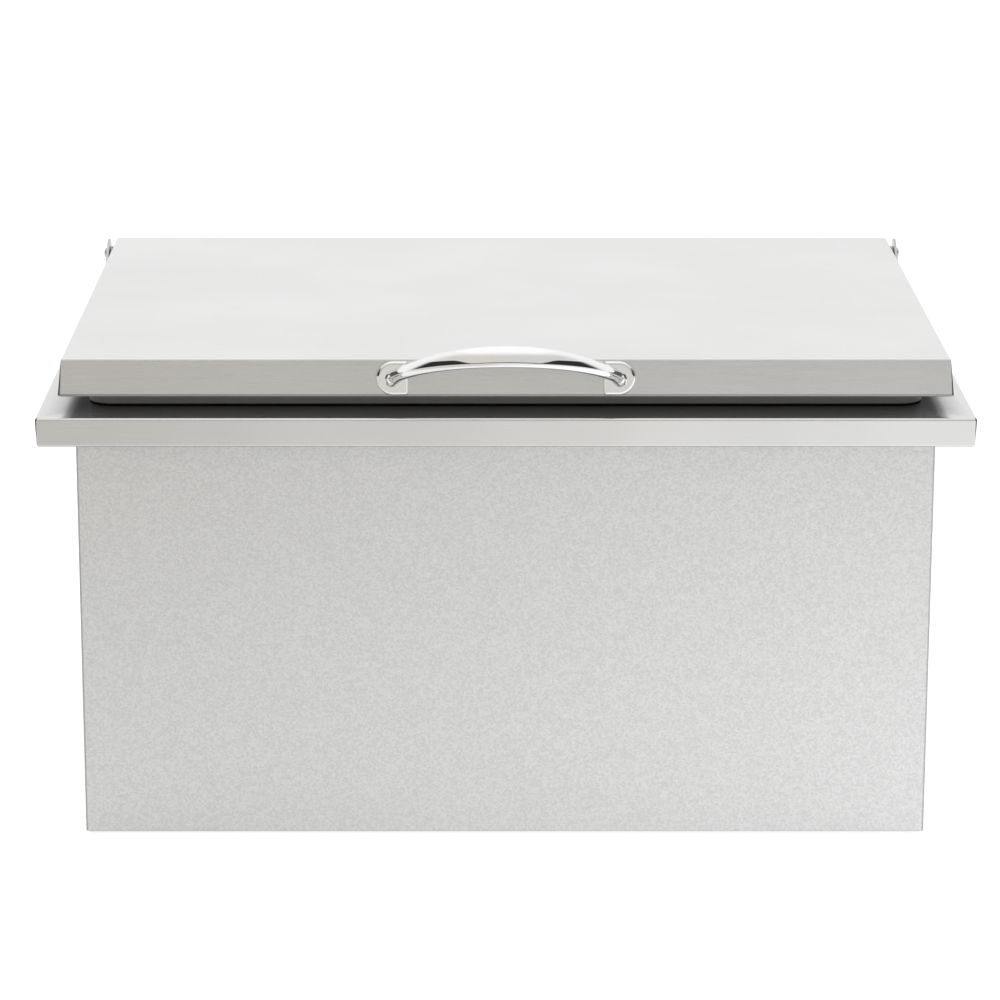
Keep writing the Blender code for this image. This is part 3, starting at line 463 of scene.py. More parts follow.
def brushed_steel(name, dark, light, rough, line=GRAIN_LINE):
    """Steel with fine lines, clouds, and darker seams and painted shade where the piece's attribute says so.
    """
    material, wiring, shader = new_material(name, roughness=rough, metallic=1.0)
    grain = pattern(wiring, BRUSHED, Line_Width=line)
    share = wiring.math("ADD", wiring.times(grain["Grain"], GRAIN_SHARE),
                        wiring.times(grain["Cloud"], 1 - GRAIN_SHARE))
    sheet = tint(wiring, wiring.range(share, *GRAIN_TONES), dark, light)
    # The attribute holds the seams' marks and the painted shade, both drawn towards the dark colour.
    seam = wiring.add("ShaderNodeAttribute", attribute_name="seam").outputs["Fac"]
    surface(wiring, shader, wiring.mix(wiring.range(seam, *SEAM_AND_SHADE_FADE), sheet, SEAM_AND_SHADE_COLOUR),
            wiring.range(grain["Grain"], *GRAIN_SPREAD, *(rough + change for change in GRAIN_ROUGH)),
            grain["Grain"], GRAIN_DEPTH)
    return material


def galvanised(name):
    material, wiring, shader = new_material(name, roughness=0.5, metallic=1.0)
    zinc = pattern(wiring, ZINC)
    share = wiring.math("ADD", wiring.range(zinc["Mottle"], *ZINC_TONES, 0.0, ZINC_MOTTLE_SHARE),
                        wiring.times(zinc["Speck"], ZINC_SPECK_SHARE), clamp=True)
    coat = tint(wiring, share, ZINC_DARK, ZINC_LIGHT)
    # Painted shade, darker on the folds and along the cut foot.
    fold_shade = wiring.times(zinc["Fold_Shade"], ZINC_SHADE_SHARE)
    surface(wiring, shader, wiring.mix(fold_shade, coat, ZINC_PAINTED_SHADE),
            wiring.range(zinc["Mottle"], *ZINC_SPREAD, *ZINC_ROUGH), zinc["Mottle"], ZINC_DEPTH)
    return material


def polished_chrome(name):
    material, wiring, shader = new_material(name, roughness=0.05, metallic=1.0)
    haze = noise(wiring, scale=60.0, detail=3.0)
    # The undersides get a painted shade, darker and greyer, and more roughness.
    upright = wiring.axes(wiring.own("Normal"))["Z"]
    underside = wiring.range(upright, *CHROME_UNDERSIDE_SHADE_FADE, 1.0, 0.0)
    plating = tint(wiring, haze, *CHROME_TONES)
    polish = wiring.range(haze, *HAZE_SPREAD, *CHROME_ROUGH)
    dullness = wiring.times(underside, CHROME_UNDER_ROUGH)
    surface(wiring, shader, wiring.mix(underside, plating, CHROME_UNDERSIDE_SHADE),
            wiring.math("ADD", polish, dullness))
    return material


# %% Brass, rubber, nylon and foam
# The seal's painted shadow: black at its foot, fading to grey above it.
SEAL_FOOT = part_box("curb_seal")[0].z + 0.0001
SEAL_SHADOW_FADE = 0.0016
RUBBER_PAINTED_SHADOW = (0.02, 0.02, 0.02)
RUBBER_TONES = ((0.43, 0.43, 0.435), (0.48, 0.48, 0.485))
RUBBER_ROUGH = (0.52, 0.68)
RUBBER_DEPTH = 0.00003
BRASS_TONES = ((0.60, 0.44, 0.22), (0.78, 0.60, 0.34))
BRASS_ROUGH = (0.24, 0.4)
BRASS_DEPTH = 0.00003
NYLON_TONES = ((0.74, 0.74, 0.70), (0.82, 0.82, 0.79))
NYLON_DEPTH = 0.00002
FOAM_TONES = ((0.82, 0.74, 0.50), (0.68, 0.58, 0.36))
FOAM_DEPTH = 0.0002


def cast_brass(name):
    material, wiring, shader = new_material(name, roughness=0.3, metallic=1.0)
    tarnish = noise(wiring, scale=90.0, detail=4.0)
    surface(wiring, shader, tint(wiring, tarnish, *BRASS_TONES),
            wiring.range(tarnish, *HAZE_SPREAD, *BRASS_ROUGH), tarnish, BRASS_DEPTH)
    return material


def soft_rubber(name):
    """Grey rubber with a painted shadow, black along the seal's foot."""
    material, wiring, shader = new_material(name, roughness=0.6, metallic=0.0)
    bloom = noise(wiring, scale=35.0, detail=4.0)
    skin_grain = noise(wiring, scale=2200.0, detail=1.0)
    # A painted shadow: black at the foot, grey above.
    body = wiring.range(wiring.axes(wiring.own())["Z"], SEAL_FOOT, SEAL_FOOT + SEAL_SHADOW_FADE)
    surface(wiring, shader, wiring.mix(body, RUBBER_PAINTED_SHADOW, tint(wiring, bloom, *RUBBER_TONES)),
            wiring.range(bloom, *HAZE_SPREAD, *RUBBER_ROUGH), skin_grain, RUBBER_DEPTH)
    return material


def moulded_nylon(name):
    material, wiring, shader = new_material(name, roughness=0.45, metallic=0.0)
    shade = noise(wiring, scale=400.0, detail=2.0)
    surface(wiring, shader, tint(wiring, shade, *NYLON_TONES), height=shade, depth=NYLON_DEPTH)
    return material


def poured_foam(name):
    material, wiring, shader = new_material(name, roughness=0.9, metallic=0.0)
    voronoi = wiring.add("ShaderNodeTexVoronoi", {"Vector": wiring.own(), "Scale": 1400.0})
    cells = voronoi.outputs["Distance"]
    surface(wiring, shader, tint(wiring, cells, *FOAM_TONES), height=cells, depth=FOAM_DEPTH)
    return material


# %% One material for each finish
def grey(level):
    """A steel's colour: a grey that is a very little warm."""
    return (level, level, level - 0.005)


FINISH = {
    "lid_steel": brushed_steel("lid_steel", grey(0.74), grey(0.78), 0.30),
    "rim_steel": brushed_steel("rim_steel", grey(0.68), grey(0.72), 0.22),
    "mill_steel": brushed_steel("mill_steel", (0.42, 0.42, 0.42), grey(0.46), 0.34),
    "tub_steel": brushed_steel("tub_steel", grey(0.78), grey(0.83), 0.34),
    "galvanised": galvanised("galvanised"),
    "chrome": polished_chrome("chrome"),
    "fastener_steel": brushed_steel("fastener_steel", (0.47, 0.47, 0.47), (0.53, 0.53, 0.53), 0.22,
                                    line=0.0002),
    "zinc_fastener": galvanised("zinc_fastener"),
    "brass": cast_brass("brass"),
    "rubber": soft_rubber("rubber"),
    "nylon": moulded_nylon("nylon"),
    "foam": poured_foam("foam"),
}
SLOT_OF = {row["node"]: row["material_slot"] for row in frame["record"]["subparts"]}
for node, obj in frame["nodes"].items():
    obj.data.materials.clear()
    obj.data.materials.append(FINISH[SLOT_OF[node]])
print("finishes:", sorted(FINISH))

# %% [markdown]
# ## Sheet metal
#
# Most of the bin is folded or pressed sheet. The solids have the right outlines with few facets. Here
# the same sections are drawn again with fine bends, because a bend is where sheet metal catches the
# light. A wall is a run of level loops: each loop is a rectangle with round corners, moved in from the
# edge by what the section says at that height. A corner can also have a seam, a narrow groove where two
# folded edges meet and were welded and ground. Each point also carries a share of painted shade, which
# makes the steel darker in some strips.

# %% Sheet metal helpers
GAP = 0.0003
CORNER_STEPS = 8
BEND_STEPS = 8
LEAST_CORNER = 0.0004
SEAM_SHARE = 0.6
SHARP = 32.0


def polar(radius, angle, x=0.0, y=0.0):
    """A point on a circle about (x, y)."""
    return x + radius * math.cos(angle), y + radius * math.sin(angle)


def middle_of(node):
    """The middle of a solid's box."""
    low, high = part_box(node)
    return (low + high) / 2


class Outline:
    """A level rectangle with round corners."""

    def __init__(self, width, depth, corner, centre_y=0.0):
        self.width, self.depth, self.corner, self.centre_y = width, depth, corner, centre_y

    def inset(self, by):
        """The outline moved inwards."""
        corner = max(self.corner - by, LEAST_CORNER)
        return Outline(self.width - 2 * by, self.depth - 2 * by, corner, self.centre_y)

    def loop(self, z, seam=0.0, painted_shade=0.0):
        """The outline's points at one height. A seam draws the middle of each corner in and darkens it; the
        other points carry the painted shade.
        """
        points = []
        seam = min(seam, self.corner * SEAM_SHARE)
        for quarter, (side_x, side_y) in enumerate(((1, 1), (-1, 1), (-1, -1), (1, -1))):
            x = side_x * (self.width / 2 - self.corner)
            y = self.centre_y + side_y * (self.depth / 2 - self.corner)
            for step in range(CORNER_STEPS + 1):
                angle = math.pi / 2 * (quarter + step / CORNER_STEPS)
                from_middle = abs(step - CORNER_STEPS // 2)
                radius = self.corner - (seam if from_middle == 0 else 0)
                mark = 1.0 if seam and from_middle <= 1 else painted_shade
                points.append((*polar(radius, angle, x, y), z, mark))
        return points


def outline_of(node, corner, section=()):
    """The outline from which a section just reaches the sides of a node's box."""
    low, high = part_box(node)
    full = Outline(high.x - low.x, high.y - low.y, corner, (low.y + high.y) / 2)
    edge = min((inset for inset, z in section), default=0.0)
    return full.inset(-edge)


def fold(points, steps=BEND_STEPS):
    """A flat run of (a, b, bend radius) points, with an arc in place of each bend."""
    result = []
    for i, (a, b, radius) in enumerate(points):
        here = Vector((a, b))
        if radius == 0 or i in (0, len(points) - 1):
            result.append((a, b))
            continue
        before = (Vector(points[i - 1][:2]) - here).normalized()
        after = (Vector(points[i + 1][:2]) - here).normalized()
        half = before.angle(after) / 2
        centre = here + (before + after).normalized() * radius / math.sin(half)
        start = here + before * radius / math.tan(half) - centre
        end = here + after * radius / math.tan(half) - centre
        sweep = start.angle_signed(end)
        for step in range(steps + 1):
            spoke = Matrix.Rotation(-sweep * step / steps, 2) @ start
            result.append(tuple(centre + spoke))
    return result


def new_object(name, bm):
    """An object from a finished bmesh."""
    bmesh.ops.recalc_face_normals(bm, faces=bm.faces)
    mesh = bpy.data.meshes.new(name)
    bm.to_mesh(mesh)
    bm.free()
    return placed(name, mesh)


def skin(name, loops, ring=False):
    """A closed skin through loops of equal length: a ring, or a run with a face at each end."""
    bm = bmesh.new()
    # Each point's fourth value, a seam's mark or the painted shade, goes into the 'seam' attribute.
    seam = bm.verts.layers.float.new("seam")
    rows = [[bm.verts.new(point[:3]) for point in loop] for loop in loops]
    for row, loop in zip(rows, loops):
        for corner, point in zip(row, loop):
            corner[seam] = point[3] if len(point) > 3 else 0.0
    following = rows[1:] + (rows[:1] if ring else [])
    for low, high in zip(rows, following):
        for i, corner in enumerate(low):
            j = (i + 1) % len(low)
            bm.faces.new((corner, low[j], high[j], high[i]))
    if not ring:
        bm.faces.new(rows[0])
        bm.faces.new(rows[-1])
    return new_object(name, bm)


def loops_along(outline, section, seam=None, painted_shade=None):
    """One loop for each (inset, z) of a wall's section. The seam's depth and the painted shade are functions
    of z.
    """
    loops = []
    for inset, z in section:
        loops.append(outline.inset(inset).loop(z, seam(z) if seam else 0.0, painted_shade(z) if painted_shade else 0.0))
    return loops


# %% [markdown]
# Some pieces need holes, and the large flats should keep their own normals beside narrow bends. Both are
# done with modifiers, which are then settled into a plain mesh. A piece that is finished is dressed: it
# gets its finish, rides on its body and takes the place of its solids.

# %% Settling and dressing
FLAT_ANGLE = 0.01
TURN_STEPS = 48
FINE_TURN_STEPS = 96


def settle(obj):
    """Turns the object's modifiers into its plain mesh."""
    depsgraph = bpy.context.evaluated_depsgraph_get()
    mesh = bpy.data.meshes.new_from_object(
        obj.evaluated_get(depsgraph), preserve_all_data_layers=True, depsgraph=depsgraph)
    obj.modifiers.clear()
    obj.data = mesh


def combine(target, tool, operation):
    """Cuts or joins with a helper, which is then removed."""
    modifier = target.modifiers.new(operation.title(), "BOOLEAN")
    modifier.operation = operation
    modifier.solver = "EXACT"
    modifier.object = tool
    settle(target)
    bpy.data.objects.remove(tool)


def block(name, corner_a, corner_b):
    """A box between two corners."""
    bm = bmesh.new()
    for x in (corner_a[0], corner_b[0]):
        for y in (corner_a[1], corner_b[1]):
            for z in (corner_a[2], corner_b[2]):
                bm.verts.new((x, y, z))
    bmesh.ops.convex_hull(bm, input=bm.verts)
    bmesh.ops.dissolve_limit(bm, angle_limit=FLAT_ANGLE, verts=bm.verts, edges=bm.edges)
    return new_object(name, bm)


def turned(name, profile, ring=False, matrix=None, steps=TURN_STEPS):
    """A turned piece on its own +Z axis, from (radius, height) points, moved by the matrix."""
    matrix = matrix or Matrix()
    loops = []
    for radius, height in profile:
        angles = [2 * math.pi * i / steps for i in range(steps)]
        loops.append([matrix @ Vector((*polar(radius, angle), height)) for angle in angles])
    return skin(name, loops, ring)


def flat_ring(name, outer, bore, low, high, **turning):
    """A washer or a gasket."""
    return turned(name, ((outer, low), (outer, high), (bore, high), (bore, low)), ring=True, **turning)


def turn_and_move(place, angle, axis):
    """The matrix that turns a piece about an axis and then moves it to a place."""
    return Matrix.Translation(place) @ Matrix.Rotation(angle, 4, axis)


def along(start, end):
    """The matrix that stands a turned piece at the start, pointing to the end."""
    start = Vector(start)
    turn = (Vector(end) - start).to_track_quat("Z", "Y").to_matrix().to_4x4()
    return Matrix.Translation(start) @ turn


def drill(target, radius, start, end):
    """Bores a round hole from one point to another."""
    length = (Vector(end) - Vector(start)).length
    combine(target, turned("bit", ((radius, 0), (radius, length)), matrix=along(start, end)), "DIFFERENCE")


def dress(obj, body, *nodes, look=None):
    """Gives a new piece its solids' finish or a given one, and puts it on its body in their place."""
    slot = SLOT_OF[nodes[0]]
    obj.data.shade_smooth()
    obj.data.set_sharp_from_angle(angle=math.radians(SHARP))
    flats = obj.modifiers.new("flats", "WEIGHTED_NORMAL")
    flats.keep_sharp = True
    settle(obj)
    obj.data.materials.clear()
    obj.data.materials.append(FINISH[look or slot])
    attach(obj, body)
    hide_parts(*nodes)
    print(f"{obj.name}: {len(obj.data.polygons)} faces on {body}")


# %% [markdown]
# ## Lid
#
# The lid's outer sheet is a shallow pan turned upside down. Its walls lean in a little, the top edge is
# a soft bend, and the lower edge is turned in to make a hem. Each corner is closed by a weld that was
# ground flush, which leaves a hairline down the corner. The strip over the hem gets a painted shade.

# %% Lid sheet
LID_LOW, LID_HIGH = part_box("lid_pan")
LID_SHEET = 0.0012
LID_DRAFT = 0.0032
LID_BEND = 0.0025
LID_HEM = 0.0052
HEM_BEND = 0.0005
HEM_INNER_BEND = 0.0002
HEM_STRIP = 0.0022
HEM_LINE = 0.0002
# The share of painted shade on the strip over the hem.
HEM_PAINTED_SHADE = 0.44
LID_CORNER = 0.0034
WELD_LINE = 0.0005
PIN_RADIUS = 0.0025
SCREW_RADIUS = 0.0024
HANDLE_SCREW_X = 0.0855
HANDLE_SCREW_GRIP = 0.0075
FOOT_DROP = 0.0004
LID_OUTSIDE = fold((
    (LID_DRAFT + 2 * LID_BEND, LID_HIGH.z, 0),
    (LID_DRAFT, LID_HIGH.z, LID_BEND),
    (0, LID_LOW.z + HEM_STRIP, 0),
    (0, LID_LOW.z + HEM_STRIP - HEM_LINE, 0),
    (0, LID_LOW.z, HEM_BEND),
    (LID_HEM, LID_LOW.z, 0),
))
LID = outline_of("lid_pan", LID_CORNER, LID_OUTSIDE)
LEAN = math.atan2(LID_DRAFT, LID_HIGH.z - LID_LOW.z)
HANDLE_Z = (LID_LOW.z + LID_HIGH.z) / 2 - FOOT_DROP
PIVOT = middle_of("pivot_bolt_right")


def on_skirt(x, out):
    """A point level with the handle's feet, this far out from the front wall's face."""
    face = -LID.depth / 2 + LID_DRAFT * (HANDLE_Z - LID_LOW.z) / (LID_HIGH.z - LID_LOW.z)
    return Vector((x, face - out * math.cos(LEAN), HANDLE_Z + out * math.sin(LEAN)))


def weld_line(z):
    """The groove's depth: only on the upright wall, between the two bends."""
    return WELD_LINE if LID_LOW.z + HEM_BEND < z < LID_HIGH.z - LID_BEND / 2 else 0.0


def hem_painted_shade(z):
    """The lowest strip, where the hem is folded, gets a painted shade."""
    return HEM_PAINTED_SHADE if z < LID_LOW.z + HEM_STRIP - HEM_LINE / 2 else 0.0


def lid_sheet():
    inside = fold((
        (LID_HEM, LID_LOW.z + LID_SHEET, 0),
        (LID_SHEET, LID_LOW.z + LID_SHEET, HEM_INNER_BEND),
        (LID_DRAFT + LID_SHEET, LID_HIGH.z - LID_SHEET, LID_BEND - LID_SHEET),
        (LID_DRAFT + 2 * LID_BEND, LID_HIGH.z - LID_SHEET, 0),
    ))
    sheet = skin("lid_sheet", loops_along(LID, LID_OUTSIDE, weld_line, hem_painted_shade) + loops_along(LID, inside))
    for side in (-1, 1):
        pin = Vector((side * LID.width / 2, PIVOT.y, PIVOT.z))
        inward = Vector((side * (LID_DRAFT + 2 * LID_SHEET), 0, 0))
        drill(sheet, PIN_RADIUS + GAP, pin + inward, pin - inward)
        foot = side * HANDLE_SCREW_X
        drill(sheet, SCREW_RADIUS + GAP, on_skirt(foot, LID_SHEET), on_skirt(foot, -2 * LID_SHEET))
    dress(sheet, "lid", "lid_pan")


lid_sheet()

# %% [markdown]
# Under the sheet lies the liner, a second shallow pan. Its flange rests on the hem, and its face lands
# on the rubber seal. A press makes it in one stroke, so its edges are round on both sides of the sheet:
# the inner bend has a small radius and the outer bend has that radius and the sheet's thickness.

# %% Lid liner
LINER_LOW, LINER_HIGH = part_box("lid_liner")
LINER_SHEET = 0.0010
LINER_WALL = 0.0038
LINER_BEND = 0.0008


def lid_liner():
    face = LINER_WALL + LINER_SHEET
    wide = LINER_BEND + LINER_SHEET
    section = fold((
        (face + 2 * wide, LINER_HIGH.z - LINER_SHEET, 0),
        (face, LINER_HIGH.z - LINER_SHEET, LINER_BEND),
        (face, LINER_LOW.z, wide),
        (0, LINER_LOW.z, 0),
        (0, LINER_LOW.z + LINER_SHEET, 0),
        (LINER_WALL, LINER_LOW.z + LINER_SHEET, LINER_BEND),
        (LINER_WALL, LINER_HIGH.z, wide),
        (face + 2 * wide, LINER_HIGH.z, 0),
    ))
    outline = outline_of("lid_liner", LID_CORNER)
    liner = skin("lid_inner_sheet", loops_along(outline, section))
    dress(liner, "lid", "lid_liner", look="mill_steel")


lid_liner()

# %% [markdown]
# ## Rim
#
# One sheet makes the lip, the flat deck and the curb that stands round the opening. The lip is folded
# down and hemmed inwards. At each corner the two lips meet in a groove that is deepest at the top,
# where the fold pulled the sheet together. The deck gets a painted shade, most of it beside the seal,
# and so does the hem's bend.

# %% Rim sheet
RIM_LOW, RIM_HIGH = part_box("rim_deck")
RIM_SHEET = 0.0015
RIM_CORNER = 0.0025
RIM_BEND = 0.0020
LIP_DRAFT = 0.0010
LIP_HEM = 0.0100
CURB_HEIGHT = 0.0140
CORNER_GROOVE = 0.0010
GROOVE_FOOT = 0.1
GROOVE_TOP = 0.999
# Shares of painted shade: at the foot of the curb, on the deck's outer edge and on the hem's bend.
CURB_PAINTED_SHADE = 0.72
DECK_PAINTED_SHADE = 0.17
HEM_LINE_PAINTED_SHADE = 0.40
SEAL_CORNER = 0.0200
SEAL_LEG = 0.0024
DECK_TOP = RIM_HIGH.z - CURB_HEIGHT
LIP_OUTSIDE = fold((
    (LIP_DRAFT + LIP_HEM, RIM_LOW.z, 0),
    (LIP_DRAFT, RIM_LOW.z, RIM_BEND),
    (0, DECK_TOP, RIM_BEND),
    (2 * RIM_BEND, DECK_TOP, 0),
))
RIM = outline_of("rim_deck", RIM_CORNER, LIP_OUTSIDE)
SEAL = outline_of("curb_seal", SEAL_CORNER)
CURB = SEAL.inset(SEAL_LEG + GAP)
EAR_SCREWS = [f"ear_screw_{side}_{number}" for side in ("left", "right") for number in (1, 2)]


def corner_groove(z):
    """The groove's depth: most at the top of the lip, and nothing at its hem."""
    share = (z - RIM_LOW.z) / (DECK_TOP - RIM_LOW.z)
    return CORNER_GROOVE * share if GROOVE_FOOT < share < GROOVE_TOP else 0.0


def curb_painted_shade(z):
    """The painted shade is darkest at the foot of the curb."""
    return CURB_PAINTED_SHADE if z == DECK_TOP else 0.0


def lip_painted_shade(z):
    """The deck's outer edge gets a little painted shade, and the hem's bend gets more."""
    if z < RIM_LOW.z + RIM_BEND / 2:
        return HEM_LINE_PAINTED_SHADE
    return DECK_PAINTED_SHADE if z > DECK_TOP - GAP / 10 else 0.0


def rim_sheet():
    deck_low = DECK_TOP - RIM_SHEET
    curb = (
        (0, DECK_TOP),
        (0, RIM_HIGH.z),
        (RIM_SHEET, RIM_HIGH.z),
        (RIM_SHEET, deck_low),
    )
    underside = fold((
        (RIM_SHEET + RIM_BEND, deck_low, 0),
        (RIM_SHEET, deck_low, RIM_BEND - RIM_SHEET),
        (RIM_SHEET + LIP_DRAFT, RIM_LOW.z + RIM_SHEET, RIM_BEND - RIM_SHEET),
        (LIP_DRAFT + LIP_HEM, RIM_LOW.z + RIM_SHEET, 0),
    ))
    loops = loops_along(RIM, LIP_OUTSIDE, corner_groove, lip_painted_shade)
    loops += loops_along(CURB, curb, painted_shade=curb_painted_shade)
    loops += loops_along(RIM, underside)
    sheet = skin("rim_sheet", loops, ring=True)
    for node in EAR_SCREWS:
        at = middle_of(node)
        top = Vector((at.x, at.y, DECK_TOP + RIM_SHEET))
        bottom = Vector((at.x, at.y, DECK_TOP - 2 * RIM_SHEET))
        drill(sheet, SCREW_RADIUS + GAP, top, bottom)
    dress(sheet, "bin", "rim_deck")


rim_sheet()

# %% [markdown]
# ## Seal
#
# A rubber channel is pushed down over the curb and the tub's flange, and the lid lands on it. Its outer
# edges are soft, as extruded rubber is, and its foot gets a painted shadow, black.

# %% Rubber seal
TUB_SHEET = 0.0012
SEAL_INNER_LEG = 0.0022
SEAL_INNER_DROP = 0.0160
SEAL_EDGE = 0.0012
SEAL_TIP = 0.0008
SEAL_LOW, SEAL_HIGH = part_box("curb_seal")
FLANGE_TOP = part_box("ice_tub")[1].z


def rubber_seal():
    width = SEAL_LEG + GAP + RIM_SHEET + GAP + TUB_SHEET + GAP + SEAL_INNER_LEG
    inner_tip = SEAL_HIGH.z - SEAL_INNER_DROP
    section = fold((
        (SEAL_LEG, SEAL_LOW.z, 0),
        (0, SEAL_LOW.z, SEAL_TIP),
        (0, SEAL_HIGH.z, SEAL_EDGE),
        (width, SEAL_HIGH.z, SEAL_EDGE),
        (width, inner_tip, SEAL_TIP),
        (width - SEAL_INNER_LEG, inner_tip, 0),
        (width - SEAL_INNER_LEG, FLANGE_TOP + GAP, 0),
        (SEAL_LEG, FLANGE_TOP + GAP, 0),
    ))
    dress(skin("rubber_seal", loops_along(SEAL, section), ring=True), "bin", "curb_seal")


rubber_seal()

# %% [markdown]
# ## Tub
#
# The tub is drawn from one sheet, so nothing in it is sharp: walls that lean in, a broad cove, and a
# floor that falls to the drain. The floor's loops pass from the round-cornered rectangle to the round
# recess in a few steps, because one long step would leave creases that a drawn floor doesn't have.

# %% Tub and floor
TUB_DEPTH = 0.3050
TUB_DRAFT = 0.0095
TUB_COVE = 0.0200
FLANGE_BEND = 0.0008
FLOOR_FALL = 0.0055
RECESS_RADIUS = 0.0345
RECESS_SLOPE = 0.0020
FLOOR_STEPS = 6
DRAIN = middle_of("drain_body")
DRAIN_HOLE = 0.0170
TUB = CURB.inset(RIM_SHEET + GAP + TUB_SHEET)
FLOOR_EDGE = DECK_TOP - TUB_DEPTH
RECESS_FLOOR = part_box("ice_tub")[0].z + TUB_SHEET


def round_loop(radius, z):
    """A circle about the drain, with a point for each point of an outline's loop."""
    points = []
    for quarter in range(4):
        for step in range(CORNER_STEPS + 1):
            angle = math.pi / 2 * (quarter + (step + 0.5) / (CORNER_STEPS + 1))
            points.append((*polar(radius, angle, y=DRAIN.y), z))
    return points


def floor_loops(wall, recess_radius, out):
    """The sloping floor, from the wall's last loop to the recess round the drain."""
    rim = round_loop(recess_radius, FLOOR_EDGE - FLOOR_FALL - out)
    loops = []
    for step in range(1, FLOOR_STEPS + 1):
        share = step / FLOOR_STEPS
        loops.append([Vector(a[:3]).lerp(Vector(b), share) for a, b in zip(wall, rim)])
    loops.append(round_loop(recess_radius - RECESS_SLOPE, RECESS_FLOOR - out))
    loops.append(round_loop(DRAIN_HOLE, RECESS_FLOOR - out))
    return loops


def tub_side(out, start):
    """The tub's wall and cove, moved out by a distance, from (inset, z, bend) starting points."""
    reach = TUB_COVE + out
    foot = TUB_DRAFT - out
    floor = FLOOR_EDGE - out
    section = fold((
        *start,
        (foot, floor, reach),
        (foot + 2 * reach, floor, 0),
    ))[:-1]
    loops = loops_along(TUB, section)
    return loops + floor_loops(loops[-1], RECESS_RADIUS + out / 2, out)


def tub_sheet():
    reach = TUB_SHEET + GAP + RIM_SHEET
    deck_low = DECK_TOP - RIM_SHEET
    inner = tub_side(0, (
        (-reach, FLANGE_TOP, 0),
        (0, FLANGE_TOP, TUB_SHEET + FLANGE_BEND),
        (0, deck_low, 0),
    ))
    outer = tub_side(TUB_SHEET, (
        (-reach, FLANGE_TOP - TUB_SHEET, 0),
        (-TUB_SHEET, FLANGE_TOP - TUB_SHEET, 0),
        (-TUB_SHEET, deck_low, 0),
    ))
    dress(skin("tub_sheet", inner + outer[::-1], ring=True), "bin", "ice_tub")


tub_sheet()

# %% [markdown]
# ## Casing
#
# One galvanised sheet is folded round the left side, the front and the right side, and its back edges
# are turned in as flanges. The back panel is riveted to them, and a tray closes the bottom. The folds
# get real bend radii, since the front corners are seen as thin darker lines.

# %% Casing sheets
CASING_LOW, CASING_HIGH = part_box("shell_wrap")
CASING_SHEET = 0.0010
CASING_BEND = 0.0018
BACK_FLANGE = 0.0200
PANEL_CORNER = 0.0040
POCKET_RADIUS = 0.0360
RIVET_RADIUS = 0.0020
RIVETS = [f"shell_rivet_{side}_{number}" for side in ("left", "right") for number in (1, 2, 3)]


def casing_wrap():
    def run(inward):
        x = CASING_HIGH.x - inward
        front = CASING_LOW.y + inward
        back = CASING_HIGH.y - inward
        flange = CASING_HIGH.x - BACK_FLANGE
        bend = CASING_BEND - inward
        return fold((
            (-flange, back, 0),
            (-x, back, bend),
            (-x, front, bend),
            (x, front, bend),
            (x, back, bend),
            (flange, back, 0),
        ))
    loops = []
    for (ax, ay), (bx, by) in zip(run(0), run(CASING_SHEET)):
        low, high = CASING_LOW.z, CASING_HIGH.z
        loops.append([(ax, ay, low), (ax, ay, high), (bx, by, high), (bx, by, low)])
    return skin("casing_wrap", loops)


def casing_back():
    low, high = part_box("back_panel")
    shape = fold((
        (0, low.z, 0),
        (high.x, low.z, PANEL_CORNER),
        (high.x, high.z, PANEL_CORNER),
        (low.x, high.z, PANEL_CORNER),
        (low.x, low.z, PANEL_CORNER),
        (0, low.z, 0),
    ))[:-1]
    return skin("casing_back", [[(x, y, z) for x, z in shape] for y in (high.y, low.y)])


def base_tray():
    low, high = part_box("base_pan")
    outer = fold((
        (0, high.z, 0),
        (0, low.z, CASING_BEND),
        (2 * CASING_BEND, low.z, 0),
    ))
    inner = fold((
        (2 * CASING_BEND, low.z + CASING_SHEET, 0),
        (CASING_SHEET, low.z + CASING_SHEET, CASING_BEND - CASING_SHEET),
        (CASING_SHEET, high.z, 0),
    ))
    hole = [round_loop(POCKET_RADIUS, low.z), round_loop(POCKET_RADIUS, low.z + CASING_SHEET)]
    outline = outline_of("base_pan", CASING_BEND)
    tray = skin("base_tray", loops_along(outline, outer) + hole + loops_along(outline, inner), ring=True)
    dress(tray, "bin", "base_pan")


through = Vector((0, 4 * CASING_SHEET, 0))
for sheet, solid in ((casing_wrap(), "shell_wrap"), (casing_back(), "back_panel")):
    for node in RIVETS:
        drill(sheet, RIVET_RADIUS + GAP, middle_of(node) + through, middle_of(node) - through)
    dress(sheet, "bin", solid)
base_tray()

# %% [markdown]
# ## Growing pieces with Geometry Nodes
#
# What repeats, or follows a rule, is grown by a Geometry Nodes tree: the tree is built here, its inputs
# are named, and a helper sets them and keeps the plain mesh that comes out. One tree sets copies of a
# piece out in even rows. It serves the rivets of the back panel, the screws and nuts of the hinges, and
# the screws and washers of the handle.

# %% Growing helpers
def new_tree(name, inputs):
    """An empty tree with these inputs, and with the look that its result gets."""
    return new_group(name, "GeometryNodeTree", {**inputs, "Look": "Material"}, {"Geometry": "Geometry"})


def put_out(wiring, given, result, geometry):
    """Ends a tree: instances become real, and the result gets its look."""
    solid = wiring.add("GeometryNodeRealizeInstances", {"Geometry": geometry})
    look = wiring.add("GeometryNodeSetMaterial", {"Geometry": solid.outputs[0], "Material": given["Look"]})
    wiring.put(result["Geometry"], look.outputs[0])


def through_tree(obj, tree, **values):
    """Sends a piece's mesh through a tree with these inputs."""
    modifier = obj.modifiers.new("tree", "NODES")
    modifier.node_group = tree
    for item in tree.interface.items_tree:
        key = item.name.replace(" ", "_")
        if item.in_out == "INPUT" and key in values:
            modifier[item.identifier] = values[key]
    settle(obj)


